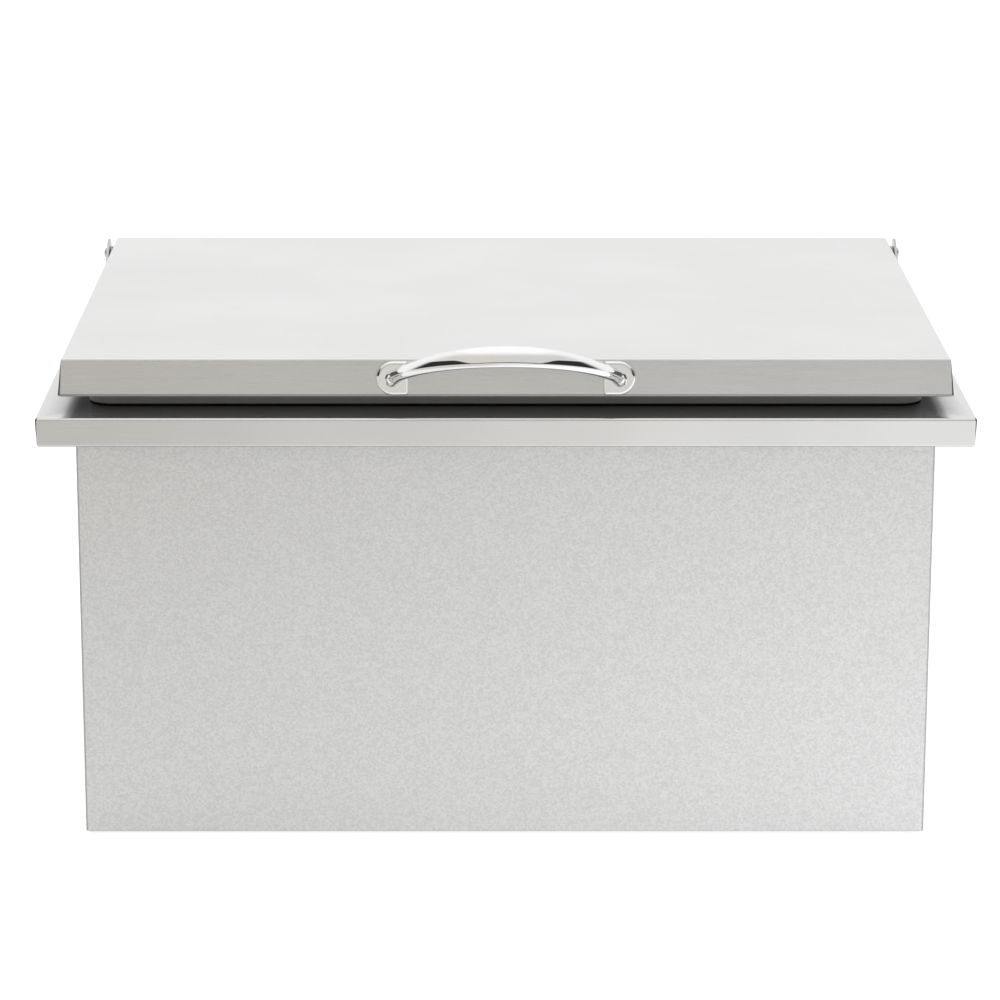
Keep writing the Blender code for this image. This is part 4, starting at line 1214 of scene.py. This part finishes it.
def grown(name, tree, matrix, **values):
    """The plain mesh that a tree makes with these inputs, moved into place by the matrix."""
    obj = placed(name, bpy.data.meshes.new(name))
    through_tree(obj, tree, **values)
    obj.data.transform(matrix)
    return obj


# %% Rows tree
def rows_tree():
    group, wiring, given, result = new_tree("set_out_in_rows", {
        "Piece": "Object", "Columns": 2, "Rows": 2, "Width": 0.1, "Depth": 0.1})
    grid = wiring.add("GeometryNodeMeshGrid", {
        "Size X": given["Width"], "Size Y": given["Depth"],
        "Vertices X": given["Columns"], "Vertices Y": given["Rows"]})
    piece = wiring.add("GeometryNodeObjectInfo", {"Object": given["Piece"]})
    copies = wiring.add("GeometryNodeInstanceOnPoints", {
        "Points": grid.outputs["Mesh"], "Instance": piece.outputs["Geometry"]})
    put_out(wiring, given, result, copies.outputs[0])
    return group


def set_out(name, master, matrix, body, nodes, rows, width, depth):
    """Sets copies of a master out in rows of two, left and right, and dresses them as one piece."""
    piece = grown(name, ROWS, matrix, Piece=master, Columns=2, Rows=rows,
                  Width=width, Depth=depth, Look=FINISH[SLOT_OF[nodes[0]]])
    bpy.data.objects.remove(master)
    dress(piece, body, *nodes)


def span_of(nodes):
    """The middle of a set of equal pieces, and how far apart the outermost ones stand."""
    middles = [middle_of(node) for node in nodes]
    lowest = Vector([min(m[i] for m in middles) for i in range(3)])
    highest = Vector([max(m[i] for m in middles) for i in range(3)])
    return (lowest + highest) / 2, highest - lowest


ROWS = rows_tree()

# %% [markdown]
# A blind rivet is a low dome on the outside and a short tail inside. The dome's profile is turned once
# and the rows tree sets out the six copies.

# %% Rivets
HEAD_EDGE = 0.25
DOME_STEPS = 8
RIVET_HEAD = 0.0040
RIVET_HEAD_HEIGHT = 0.0012


def dome(radius, height):
    """The (radius, height) points of a head that stands on zero: a short edge, then a low dome."""
    edge = height * HEAD_EDGE
    points = [(radius, 0)]
    for step in range(DOME_STEPS + 1):
        angle = math.pi / 2 * step / (DOME_STEPS + 0.5)
        points.append((radius * math.cos(angle), edge + (height - edge) * math.sin(angle)))
    return points


def rivets():
    middle, apart = span_of(RIVETS)
    low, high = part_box(RIVETS[0])
    seat = high.y - RIVET_HEAD_HEIGHT
    shank = [(RIVET_RADIUS, low.y - seat), (RIVET_RADIUS, 0)]
    master = turned("rivet", shank + dome(RIVET_HEAD, RIVET_HEAD_HEIGHT))
    facing_back = turn_and_move((middle.x, seat, middle.z), -math.pi / 2, "X")
    set_out("blind_rivets", master, facing_back, "bin", RIVETS, 3, apart.x, apart.z)


rivets()

# %% [markdown]
# ## Handle
#
# The handle is cast and chromed: a grip that arches out and up, and two feet screwed from inside. The
# grip follows a rule, so a tree makes it. An arc gives the path, an oval gives the section, and the width
# grows from the feet to the crown. A cast root has no sharp corner, so the section flares out just above
# the feet. The arc runs on behind them, where it is cut flat.

# %% Bow grip
GRIP_REACH = 0.0446
GRIP_RISE = 0.0212
FOOT_THICK = 0.0034
ARC_POINTS = 129
OVAL_POINTS = 48
FLARE_POWER = 3.0


def bow_tree():
    group, wiring, given, result = new_tree("bow_grip", {
        "Half Span": 0.08, "Rise": 0.04, "Run On": 0.1, "End Width": 0.0095, "Crown Width": 0.017,
        "Taper": 1.8, "Thickness": 0.0082, "Squareness": 2.05, "Flare": 0.4, "Flare Reach": 0.010})
    # The half span and the rise give the arc's radius and half of its turn.
    span, rise = given["Half Span"], given["Rise"]
    squares = wiring.math("ADD", wiring.times(span, span), wiring.times(rise, rise))
    radius = wiring.math("DIVIDE", squares, wiring.times(rise, 2.0))
    half_turn = wiring.math("MULTIPLY_ADD", wiring.math("ARCTAN2", rise, span), 2.0, given["Run On"])
    arc = wiring.add("GeometryNodeCurveArc", {
        "Resolution": ARC_POINTS, "Radius": radius,
        "Start Angle": wiring.math("SUBTRACT", math.pi / 2, half_turn),
        "Sweep Angle": wiring.times(half_turn, 2.0)}, mode="RADIUS")
    upright = wiring.add("GeometryNodeSetCurveNormal", {"Curve": arc.outputs["Curve"]}, mode="Z_UP")

    circle = wiring.add("GeometryNodeCurvePrimitiveCircle", {"Resolution": OVAL_POINTS, "Radius": 1.0})
    spot = wiring.axes(wiring.add("GeometryNodeInputPosition").outputs[0])
    power = wiring.math("DIVIDE", 2.0, given["Squareness"])

    def squared(axis, size):
        swollen = wiring.math("POWER", wiring.math("ABSOLUTE", spot[axis]), power)
        return wiring.times(wiring.times(swollen, wiring.math("SIGN", spot[axis])), wiring.times(size, 0.5))

    section = wiring.add("GeometryNodeSetPosition", {
        "Geometry": circle.outputs["Curve"],
        "Position": wiring.joined(squared("X", given["Thickness"]), squared("Y", given["Crown Width"]))})
    height = wiring.math("SUBTRACT", wiring.math("ADD", spot["Y"], rise), radius)
    near_foot = wiring.math("SUBTRACT", 1.0, wiring.math("DIVIDE", height, given["Flare Reach"]), clamp=True)
    flare = wiring.times(wiring.math("POWER", near_foot, FLARE_POWER), given["Flare"])
    bar = wiring.add("GeometryNodeCurveToMesh", {
        "Curve": upright.outputs[0], "Profile Curve": section.outputs[0], "Fill Caps": True,
        "Scale": wiring.math("ADD", flare, 1.0)})

    swell = wiring.math("POWER", wiring.math("DIVIDE", height, rise, clamp=True), given["Taper"])
    extra = wiring.math("SUBTRACT", given["Crown Width"], given["End Width"])
    width = wiring.math("MULTIPLY_ADD", extra, swell, given["End Width"])
    share = wiring.math("DIVIDE", width, given["Crown Width"])
    broad = wiring.times(wiring.times(spot["Z"], share), -1.0)
    shaped = wiring.add("GeometryNodeSetPosition", {
        "Geometry": bar.outputs["Mesh"], "Position": wiring.joined(spot["X"], broad, height)})
    put_out(wiring, given, result, shaped.outputs[0])
    return group


def grip():
    arch = Vector((0, FOOT_THICK / 2 - GRIP_REACH, GRIP_RISE))
    facing = arch.normalized()
    across = facing.cross(Vector((1, 0, 0)))
    local = Matrix(((1, 0, 0), across, facing)).transposed().to_4x4()
    foot_frame = turn_and_move(on_skirt(0, 0), -LEAN, "X")
    place = foot_frame @ Matrix.Translation((0, -FOOT_THICK / 2, 0)) @ local
    bar = grown("bow_handle", bow_tree(), place, Half_Span=HANDLE_SCREW_X, Rise=arch.length,
                Look=FINISH["chrome"])
    return bar, foot_frame


BAR, FOOT_FRAME = grip()
for end, pick in (("from", min), ("to", max)):
    print("grip", end, [round(pick(v.co[i] for v in BAR.data.vertices), 4) for i in range(3)])

# %% [markdown]
# Each foot is a thick disc with a straight inner side, a flat face and an edge that rolls off slowly. The
# roll is a quarter of an ellipse, wider than it is deep, because a plain round edge would be too narrow
# to mirror anything. A block behind the feet cuts the ends of the grip flat, and the feet are then joined
# to it, so that the handle is one solid.

# %% Feet
FOOT_INNER = 0.0740
FOOT_OUTER = 0.0980
FOOT_RADIUS = 0.0129
FOOT_EDGE_WIDE = 0.0024
FOOT_EDGE_DEEP = 0.0018
FOOT_CORNER = 0.0020
FOOT_STEPS = 32
EDGE_STEPS = 10
CUT_SIDE = 0.12
CUT_BACK = 0.08
CUT_UP = 0.06


def foot_loop(side, inset, out):
    """The foot's outline: a half round outside, a straight edge inside."""
    radius = FOOT_RADIUS - inset
    corner = max(FOOT_CORNER - inset, LEAST_CORNER)
    centre = FOOT_OUTER - FOOT_RADIUS
    inner = FOOT_INNER + inset
    points = []
    for step in range(FOOT_STEPS + 1):
        points.append(polar(radius, math.pi * (step / FOOT_STEPS - 0.5), centre))
    for sign, first in ((1, 90), (-1, 180)):
        for step in range(BEND_STEPS + 1):
            angle = math.radians(first + 90 * step / BEND_STEPS)
            points.append(polar(corner, angle, inner + corner, sign * (radius - corner)))
    return [FOOT_FRAME @ Vector((side * x, -out, z)) for x, z in points]


def cut_behind(bar, level):
    """Cuts away all of the grip that lies behind a level out from the wall."""
    behind = block("behind", (-CUT_SIDE, -level, -CUT_UP), (CUT_SIDE, CUT_BACK, CUT_UP))
    behind.data.transform(FOOT_FRAME)
    combine(bar, behind, "DIFFERENCE")


def handle(bar):
    cut_behind(bar, FOOT_THICK / 2)
    for side in (-1, 1):
        loops = [foot_loop(side, 0, GAP)]
        for step in range(EDGE_STEPS + 1):
            angle = math.pi / 2 * step / EDGE_STEPS
            inset = FOOT_EDGE_WIDE * (1 - math.cos(angle))
            loops.append(foot_loop(side, inset, FOOT_THICK - FOOT_EDGE_DEEP * (1 - math.sin(angle))))
        combine(bar, skin("foot", loops), "UNION")
        at = side * HANDLE_SCREW_X
        drill(bar, SCREW_RADIUS + GAP, on_skirt(at, 0), on_skirt(at, HANDLE_SCREW_GRIP + 2 * GAP))
    dress(bar, "lid", "lid_handle")


handle(BAR)

# %% [markdown]
# ## Threads
#
# Bolts, screws and the drain's pipe have threads. A thread is a groove that winds about an axis, so a
# tree cuts it: it takes a turned piece with many closely spaced loops and draws each point of its outer
# face in by a wave of the height plus the turn's share. The crests stay at the solid's radius.

# %% Thread tree
THREAD_LOOPS = 6
OUTER_FACE = 0.99


def thread_tree():
    group, wiring, given, result = new_tree("cut_thread", {
        "Geometry": "Geometry", "Radius": 0.0025, "From": 0.0, "To": 0.01, "Pitch": 0.0008,
        "Depth": 0.0004})
    place = wiring.add("GeometryNodeInputPosition").outputs[0]
    spot = wiring.axes(place)
    level = wiring.vector("MULTIPLY", place, (1.0, 1.0, 0.0))
    away = wiring.add("ShaderNodeVectorMath", {0: level}, operation="LENGTH").outputs["Value"]
    outer = wiring.math("GREATER_THAN", away, wiring.times(given["Radius"], OUTER_FACE))
    within = wiring.times(wiring.math("GREATER_THAN", spot["Z"], given["From"]),
                          wiring.math("LESS_THAN", spot["Z"], given["To"]))
    turn = wiring.math("DIVIDE", wiring.math("ARCTAN2", spot["Y"], spot["X"]), 2 * math.pi)
    wound = wiring.math("SUBTRACT", wiring.math("DIVIDE", spot["Z"], given["Pitch"]), turn)
    wave = wiring.times(wiring.math("PINGPONG", wound, 0.5), 2.0)
    pull = wiring.times(wiring.times(wave, given["Depth"]), -1.0)
    inward = wiring.vector("NORMALIZE", level)
    shift = wiring.add("ShaderNodeVectorMath", {0: inward, "Scale": pull}, operation="SCALE").outputs[0]
    cut = wiring.add("GeometryNodeSetPosition", {
        "Geometry": given["Geometry"], "Selection": wiring.times(outer, within), "Offset": shift})
    put_out(wiring, given, result, cut.outputs[0])
    return group


def levels(radius, low, high, pitch):
    """A profile's points up a shank, close enough for a thread."""
    count = max(2, math.ceil((high - low) / pitch * THREAD_LOOPS))
    return [(radius, low + (high - low) * i / count) for i in range(count + 1)]


THREAD = thread_tree()

# %% [markdown]
# ## Screws, bolts and nuts
#
# A screw is one turned profile: a threaded shank, a low dome and a hexagon socket for the key. A nut is
# a hexagon whose corners are taken off by a cone at both faces, which leaves the curved edges that every
# real nut has. Each loop of the nut is the hexagon, limited to a radius that grows away from the face.

# %% Screw and nut
SCREW_PITCH = 0.0008
THREAD_DEPTH = 0.00042
SOCKET_SHARE = 0.42
SOCKET_DEPTH = 0.55
SOCKET_TOP = 3.0
NUT_FACE = 0.97
NUT_POINTS = 48
CHAMFER_STEPS = 5
HALF_SIDE_ANGLE = math.pi / 6


def screw(name, radius, tail, head, height, seat=0.0):
    """A socket screw with the underside of its head at the seat and its tail below."""
    head_points = [(r, seat + z) for r, z in dome(head, height)]
    obj = turned(name, levels(radius, tail, seat, SCREW_PITCH) + head_points)
    through_tree(obj, THREAD, Radius=radius, From=tail + SCREW_PITCH / 4, To=seat - SCREW_PITCH,
                 Pitch=SCREW_PITCH, Depth=THREAD_DEPTH, Look=FINISH["fastener_steel"])
    bottom = seat + height * (1 - SOCKET_DEPTH)
    key = [(head * SOCKET_SHARE, bottom), (head * SOCKET_SHARE, seat + height * SOCKET_TOP)]
    combine(obj, turned("key", key, steps=6), "DIFFERENCE")
    return obj


def hex_nut(name, across, height, bore, matrix=None):
    """A nut that stands on zero, with two of its corners on the X axis."""
    matrix = matrix or Matrix()
    corner = across / 2 / math.cos(HALF_SIDE_ANGLE)
    face = across / 2 * NUT_FACE
    chamfer = (corner - face) * math.tan(HALF_SIDE_ANGLE)

    def loop(limit, z):
        points = []
        for i in range(NUT_POINTS):
            angle = 2 * math.pi * i / NUT_POINTS
            flat = across / 2 / math.cos(angle % (2 * HALF_SIDE_ANGLE) - HALF_SIDE_ANGLE)
            radius = min(flat, limit)
            points.append(matrix @ Vector((*polar(radius, angle), z)))
        return points

    shares = [i / CHAMFER_STEPS for i in range(CHAMFER_STEPS + 1)]
    loops = [loop(face + (corner - face) * share, chamfer * share) for share in shares]
    loops += [loop(face + (corner - face) * share, height - chamfer * share) for share in reversed(shares)]
    loops += [loop(bore, height), loop(bore, 0)]
    return skin(name, loops, ring=True)


# %% [markdown]
# ## Hinges
#
# Each ear is cut and bent from thick sheet. Its plate stands beside the lid, its foot is screwed to the
# deck, and a small tab behind the foot stops the lid. A pressed or cut edge is never quite sharp, so a
# narrow bevel goes round all of it: that is the bright line which shows a sheet's thickness.

# %% Ears
EAR_SHEET = 0.0020
EAR_CLEARANCE = 0.0010
EAR_ROUND = 0.0125
EAR_FRONT_RISE = 0.0060
EAR_FOOT_GAP = 0.0020
EAR_STEPS = 40
EAR_BREAK = 0.0003
EAR_BREAK_ANGLE = math.radians(40)
STOP_ANGLE = math.radians(102.0)
STOP_RISE = 0.0012
RUNNING_GAP = 0.0004
BUSH_WALL = 0.0011
HALF_LID = LID.width / 2
EAR_INNER = HALF_LID + EAR_CLEARANCE
EAR_OUTER = EAR_INNER + EAR_SHEET
SIDES = ((-1, "left"), (1, "right"))


def ear_outline(low, front):
    """The plate seen from the side: a sloping front edge and a round top about the pivot."""
    shoulder = Vector((front, low + EAR_FRONT_RISE))
    reach = shoulder - Vector((PIVOT.y, PIVOT.z))
    first = math.atan2(reach.y, reach.x) % (2 * math.pi) - math.acos(EAR_ROUND / reach.length)
    points = [(PIVOT.y + EAR_ROUND, low), (front, low), tuple(shoulder)]
    for step in range(EAR_STEPS + 1):
        points.append(polar(EAR_ROUND, first * (1 - step / EAR_STEPS), PIVOT.y, PIVOT.z))
    return points


def hinge_ear(side, word):
    ear_low, ear_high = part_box(f"hinge_ear_{word}")
    low, front = ear_low.z, ear_low.y
    setback, below = LID.depth / 2 - PIVOT.y, PIVOT.z - LID_LOW.z
    stop_y = PIVOT.y + setback * math.cos(STOP_ANGLE) - below * math.sin(STOP_ANGLE) - GAP
    stop_z = PIVOT.z - setback * math.sin(STOP_ANGLE) - below * math.cos(STOP_ANGLE) + STOP_RISE
    foot_edge = side * (SEAL.width / 2 + EAR_FOOT_GAP)
    stop_edge = side * (HALF_LID - LID_HEM - EAR_FOOT_GAP)
    faces = [side * EAR_INNER, side * EAR_OUTER]
    plate = skin(f"ear_{word}", [[(x, y, z) for y, z in ear_outline(low, front)] for x in faces])
    middle = side * (EAR_INNER + EAR_SHEET / 2)
    combine(plate, block("foot", (foot_edge, front, low), (middle, stop_y, low + EAR_SHEET)), "UNION")
    combine(plate, block("tab", (foot_edge, stop_y - EAR_SHEET, low), (stop_edge, stop_y, stop_z)), "UNION")
    pivot_hole = PIN_RADIUS + RUNNING_GAP + BUSH_WALL + GAP
    away = Vector((side * 2 * EAR_SHEET, 0, 0))
    at = Vector((side * EAR_INNER, PIVOT.y, PIVOT.z))
    drill(plate, pivot_hole, at + away, at - away)
    for number in (1, 2):
        centre = middle_of(f"ear_screw_{word}_{number}")
        centre.z = low
        up = Vector((0, 0, 2 * EAR_SHEET))
        drill(plate, SCREW_RADIUS + GAP, centre + up, centre - up)
    broken = plate.modifiers.new("broken_edge", "BEVEL")
    broken.width = EAR_BREAK
    broken.segments = 2
    broken.limit_method = "ANGLE"
    broken.angle_limit = EAR_BREAK_ANGLE
    settle(plate)
    dress(plate, "bin", f"hinge_ear_{word}")


for side, word in SIDES:
    hinge_ear(side, word)

# %% [markdown]
# A nylon bush sits in each ear. The pivot bolt turns in it with the lid, and a nut inside the skirt
# holds the bolt. The bolts and the bushes are made one by one, because left and right face apart.

# %% Pivot sets
PIN_HEAD = 0.0047
PIN_HEAD_HEIGHT = 0.0034
BUSH_FLANGE = 0.0060
BUSH_FLANGE_THICK = 0.0018
BUSH_EDGE = 0.0002
NUT_ACROSS = 0.0080
NUT_HEIGHT = 0.0042


def pivot_set(side, word):
    def facing_out(x):
        return turn_and_move((side * x, PIVOT.y, PIVOT.z), side * math.pi / 2, "Y")

    def inner_end(node):
        return min(abs(corner.x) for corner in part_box(node))

    bore = PIN_RADIUS + RUNNING_GAP
    wall = bore + BUSH_WALL
    end = GAP + EAR_SHEET
    bush = turned(f"bush_{word}", (
        (BUSH_FLANGE, BUSH_EDGE - BUSH_FLANGE_THICK),
        (BUSH_FLANGE, -BUSH_EDGE),
        (BUSH_FLANGE - BUSH_EDGE, 0),
        (wall, 0),
        (wall, end - BUSH_EDGE),
        (wall - BUSH_EDGE, end),
        (bore, end),
        (bore, -BUSH_FLANGE_THICK),
        (BUSH_FLANGE - BUSH_EDGE, -BUSH_FLANGE_THICK),
    ), ring=True, matrix=facing_out(EAR_INNER - GAP))
    dress(bush, "bin", f"pivot_bush_{word}")
    seat = EAR_OUTER + GAP
    tail = inner_end(f"pivot_bolt_{word}") - seat
    bolt = screw(f"bolt_{word}", PIN_RADIUS, tail, PIN_HEAD, PIN_HEAD_HEIGHT)
    bolt.data.transform(facing_out(seat))
    dress(bolt, "lid", f"pivot_bolt_{word}")
    nut = hex_nut(f"nut_{word}", NUT_ACROSS, NUT_HEIGHT, PIN_RADIUS + GAP,
                  facing_out(inner_end(f"pivot_nut_{word}")))
    dress(nut, "lid", f"pivot_nut_{word}")


for side, word in SIDES:
    pivot_set(side, word)

# %% [markdown]
# The feet of the ears take two screws each, and the handle takes two from inside the lid. The rows tree
# from the rivets sets these out as well: one screw or nut is made, and the tree places the rest.

# %% Screws in rows
EAR_SCREW_HEAD = 0.0046
EAR_SCREW_HEAD_HEIGHT = 0.0024
HANDLE_SCREW_HEAD = 0.0045
HANDLE_SCREW_HEAD_HEIGHT = 0.0025
WASHER_RADIUS = 0.0060
WASHER_THICK = 0.0010
EAR_NUTS = [name.replace("screw", "nut") for name in EAR_SCREWS]
HANDLE_SCREWS = ["handle_screw_left", "handle_screw_right"]
HANDLE_WASHERS = ["handle_washer_left", "handle_washer_right"]


def ear_fasteners():
    middle, apart = span_of(EAR_SCREWS)
    low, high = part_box(EAR_SCREWS[0])
    seat = high.z - EAR_SCREW_HEAD_HEIGHT
    master = screw("ear_screw", SCREW_RADIUS, low.z - seat, EAR_SCREW_HEAD, EAR_SCREW_HEAD_HEIGHT)
    place = Matrix.Translation((middle.x, middle.y, seat))
    set_out("ear_screws", master, place, "bin", EAR_SCREWS, 2, apart.x, apart.y)
    master = hex_nut("ear_nut", NUT_ACROSS, NUT_HEIGHT, SCREW_RADIUS + GAP)
    place = Matrix.Translation((middle.x, middle.y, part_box(EAR_NUTS[0])[0].z))
    set_out("ear_nuts", master, place, "bin", EAR_NUTS, 2, apart.x, apart.y)


def handle_fasteners():
    from_wall = turn_and_move(on_skirt(0, 0), math.pi / 2 - LEAN, "X")
    face = -LID_SHEET - GAP
    seat = face - WASHER_THICK - GAP
    reach = HANDLE_SCREW_GRIP - seat
    master = screw("handle_screw", SCREW_RADIUS, -reach, HANDLE_SCREW_HEAD, HANDLE_SCREW_HEAD_HEIGHT)
    master.data.transform(turn_and_move((0, 0, seat), math.pi, "X"))
    set_out("handle_screws", master, from_wall, "lid", HANDLE_SCREWS, 1, 2 * HANDLE_SCREW_X, 0.0)
    master = flat_ring("handle_washer", WASHER_RADIUS, SCREW_RADIUS + GAP, face - WASHER_THICK, face)
    set_out("handle_washers", master, from_wall, "lid", HANDLE_WASHERS, 1, 2 * HANDLE_SCREW_X, 0.0)


ear_fasteners()
handle_fasteners()

# %% [markdown]
# ## Drain
#
# The drain is a brass fitting: a flange that seals on the tub's floor, a step for the strainer, a short
# funnel and a threaded pipe. Below the floor a gasket, a washer and a locknut clamp it. All of it is
# turned, and the pipe goes through the same thread tree as the bolts.

# %% Drain fitting
DRAIN_FLANGE_RADIUS = 0.0290
DRAIN_FLANGE_HEIGHT = 0.0032
DRAIN_EDGE = 0.0010
DRAIN_PIPE = 0.0167
DRAIN_BORE = 0.0133
DRAIN_LENGTH = 0.0230
DRAIN_PITCH = 0.0018
DRAIN_THREAD_DEPTH = 0.0009
DRAIN_GASKET = 0.0030
DRAIN_WASHER = 0.0010
DRAIN_CLAMP = 0.0240
SEAT_RADIUS = 0.0256
SEAT_STEP = 0.0017
CUP_RADIUS = 0.0220
CUP_DEPTH = 0.0020
LOCKNUT_ACROSS = 0.0480
LOCKNUT_HEIGHT = 0.0070


def at_drain(z):
    return Matrix.Translation((DRAIN.x, DRAIN.y, z))


def drain_fitting():
    rim = GAP + DRAIN_FLANGE_HEIGHT
    seat = rim - SEAT_STEP
    flange = fold((
        (DRAIN_FLANGE_RADIUS, GAP, 0),
        (DRAIN_FLANGE_RADIUS, rim, DRAIN_EDGE),
        (SEAT_RADIUS, rim, 0),
    ))
    inside = [
        (SEAT_RADIUS, seat),
        (CUP_RADIUS, seat),
        (DRAIN_BORE, seat - CUP_DEPTH),
        (DRAIN_BORE, -DRAIN_LENGTH),
        (DRAIN_PIPE - DRAIN_EDGE, -DRAIN_LENGTH),
    ]
    pipe = levels(DRAIN_PIPE, DRAIN_EDGE - DRAIN_LENGTH, GAP, DRAIN_PITCH)
    body = turned("drain_fitting", flange + inside + pipe, ring=True, steps=FINE_TURN_STEPS)
    through_tree(body, THREAD, Radius=DRAIN_PIPE, From=DRAIN_EDGE / 2 - DRAIN_LENGTH, To=-3 * TUB_SHEET,
                 Pitch=DRAIN_PITCH, Depth=DRAIN_THREAD_DEPTH, Look=FINISH["brass"])
    body.data.transform(at_drain(RECESS_FLOOR))
    dress(body, "bin", "drain_body")
    level = RECESS_FLOOR - TUB_SHEET
    bore = DRAIN_PIPE + GAP
    for node, thick in (("drain_gasket", DRAIN_GASKET), ("drain_washer", DRAIN_WASHER)):
        level -= GAP + thick
        ring = flat_ring(node.replace("drain", "pipe"), DRAIN_CLAMP, bore, 0, thick,
                         matrix=at_drain(level), steps=FINE_TURN_STEPS)
        dress(ring, "bin", node)
    level -= GAP + LOCKNUT_HEIGHT
    locknut = hex_nut("pipe_locknut", LOCKNUT_ACROSS, LOCKNUT_HEIGHT, bore, at_drain(level))
    dress(locknut, "bin", "drain_locknut")


drain_fitting()

# %% [markdown]
# The strainer keeps ice out of the pipe. Its holes stand in rings, six more in each ring than in the
# last. That is a rule, so a tree places them: from a hole's number it works out the ring and the place
# in it, and takes all the holes from the plate in one cut.

# %% Strainer
STRAINER_SHEET = 0.0012
STRAINER_EDGE = 0.0004
STRAINER_PITCH = 0.0068
STRAINER_HOLE = 0.0021
STRAINER_RINGS = 3
HOLE_SIDES = 32


def perforating_tree():
    group, wiring, given, result = new_tree("perforate_in_rings", {
        "Geometry": "Geometry", "Rings": 3, "Spacing": 0.0068, "Hole Radius": 0.0021, "Depth": 0.005})
    # Rings 1 to r hold 3r(r + 1) holes beside the middle one. Solved for r, that gives a hole's ring.
    rings = given["Rings"]
    full = wiring.times(wiring.times(rings, wiring.math("ADD", rings, 1.0)), 3.0)
    number = wiring.add("GeometryNodeInputIndex").outputs[0]
    root = wiring.math("SQRT", wiring.math("MULTIPLY_ADD", number, 12.0, -3.0))
    ring = wiring.math("FLOOR", wiring.math("DIVIDE", wiring.math("ADD", root, 3.0), 6.0))
    before = wiring.times(wiring.times(ring, wiring.math("SUBTRACT", ring, 1.0)), 3.0)
    place_in_ring = wiring.math("SUBTRACT", wiring.math("SUBTRACT", number, before), 1.0)
    share = wiring.math("DIVIDE", place_in_ring, wiring.times(ring, 6.0))
    angle = wiring.times(share, 2 * math.pi)
    away = wiring.times(ring, given["Spacing"])
    spot = wiring.joined(wiring.times(away, wiring.math("COSINE", angle)),
                         wiring.times(away, wiring.math("SINE", angle)))
    points = wiring.add("GeometryNodePoints", {"Count": wiring.math("ADD", full, 1.0), "Position": spot})
    bit = wiring.add("GeometryNodeMeshCylinder", {
        "Vertices": HOLE_SIDES, "Radius": given["Hole Radius"], "Depth": given["Depth"]})
    bits = wiring.add("GeometryNodeInstanceOnPoints", {
        "Points": points.outputs[0], "Instance": bit.outputs["Mesh"]})
    cutters = wiring.add("GeometryNodeRealizeInstances", {"Geometry": bits.outputs[0]})
    cut = wiring.add("GeometryNodeMeshBoolean", {
        "Mesh 1": given["Geometry"], "Mesh 2": cutters.outputs[0]}, operation="DIFFERENCE", solver="EXACT")
    put_out(wiring, given, result, cut.outputs["Mesh"])
    return group


def strainer():
    low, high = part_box("drain_strainer")
    radius = SEAT_RADIUS - 2 * GAP
    profile = fold((
        (radius / 2, 0, 0),
        (radius, 0, STRAINER_EDGE / 2),
        (radius, STRAINER_SHEET, STRAINER_EDGE),
        (radius / 2, STRAINER_SHEET, 0),
    ))
    plate = turned("strainer_plate", profile, steps=FINE_TURN_STEPS)
    through_tree(plate, perforating_tree(), Rings=STRAINER_RINGS, Spacing=STRAINER_PITCH,
                 Hole_Radius=STRAINER_HOLE, Depth=4 * STRAINER_SHEET, Look=FINISH["tub_steel"])
    plate.data.transform(at_drain(low.z))
    dress(plate, "strainer", "drain_strainer")


strainer()

# %% [markdown]
# ## Foam
#
# Poured foam fills the space between the tub and the casing, and the lid. It is never seen on a whole
# bin and takes its form from the sheets round it, so the solids are already right. Copies of them are
# merged, so that the facets join, and are given the foam's open cells.

# %% Foam fillings
MERGE_DISTANCE = 0.000002
FACET_ANGLE = math.radians(0.5)


def merged_copy(name, node):
    """A copy of a solid as one connected mesh, in the bin's own place."""
    source = frame["nodes"][node]
    bm = bmesh.new()
    bm.from_mesh(source.data)
    bm.transform(source.matrix_world)
    bmesh.ops.remove_doubles(bm, verts=bm.verts, dist=MERGE_DISTANCE)
    bmesh.ops.dissolve_limit(bm, angle_limit=FACET_ANGLE, verts=bm.verts, edges=bm.edges)
    return new_object(name, bm)


dress(merged_copy("bin_foam", "foam_insulation"), "bin", "foam_insulation")
dress(merged_copy("lid_filling", "lid_foam"), "lid", "lid_foam")
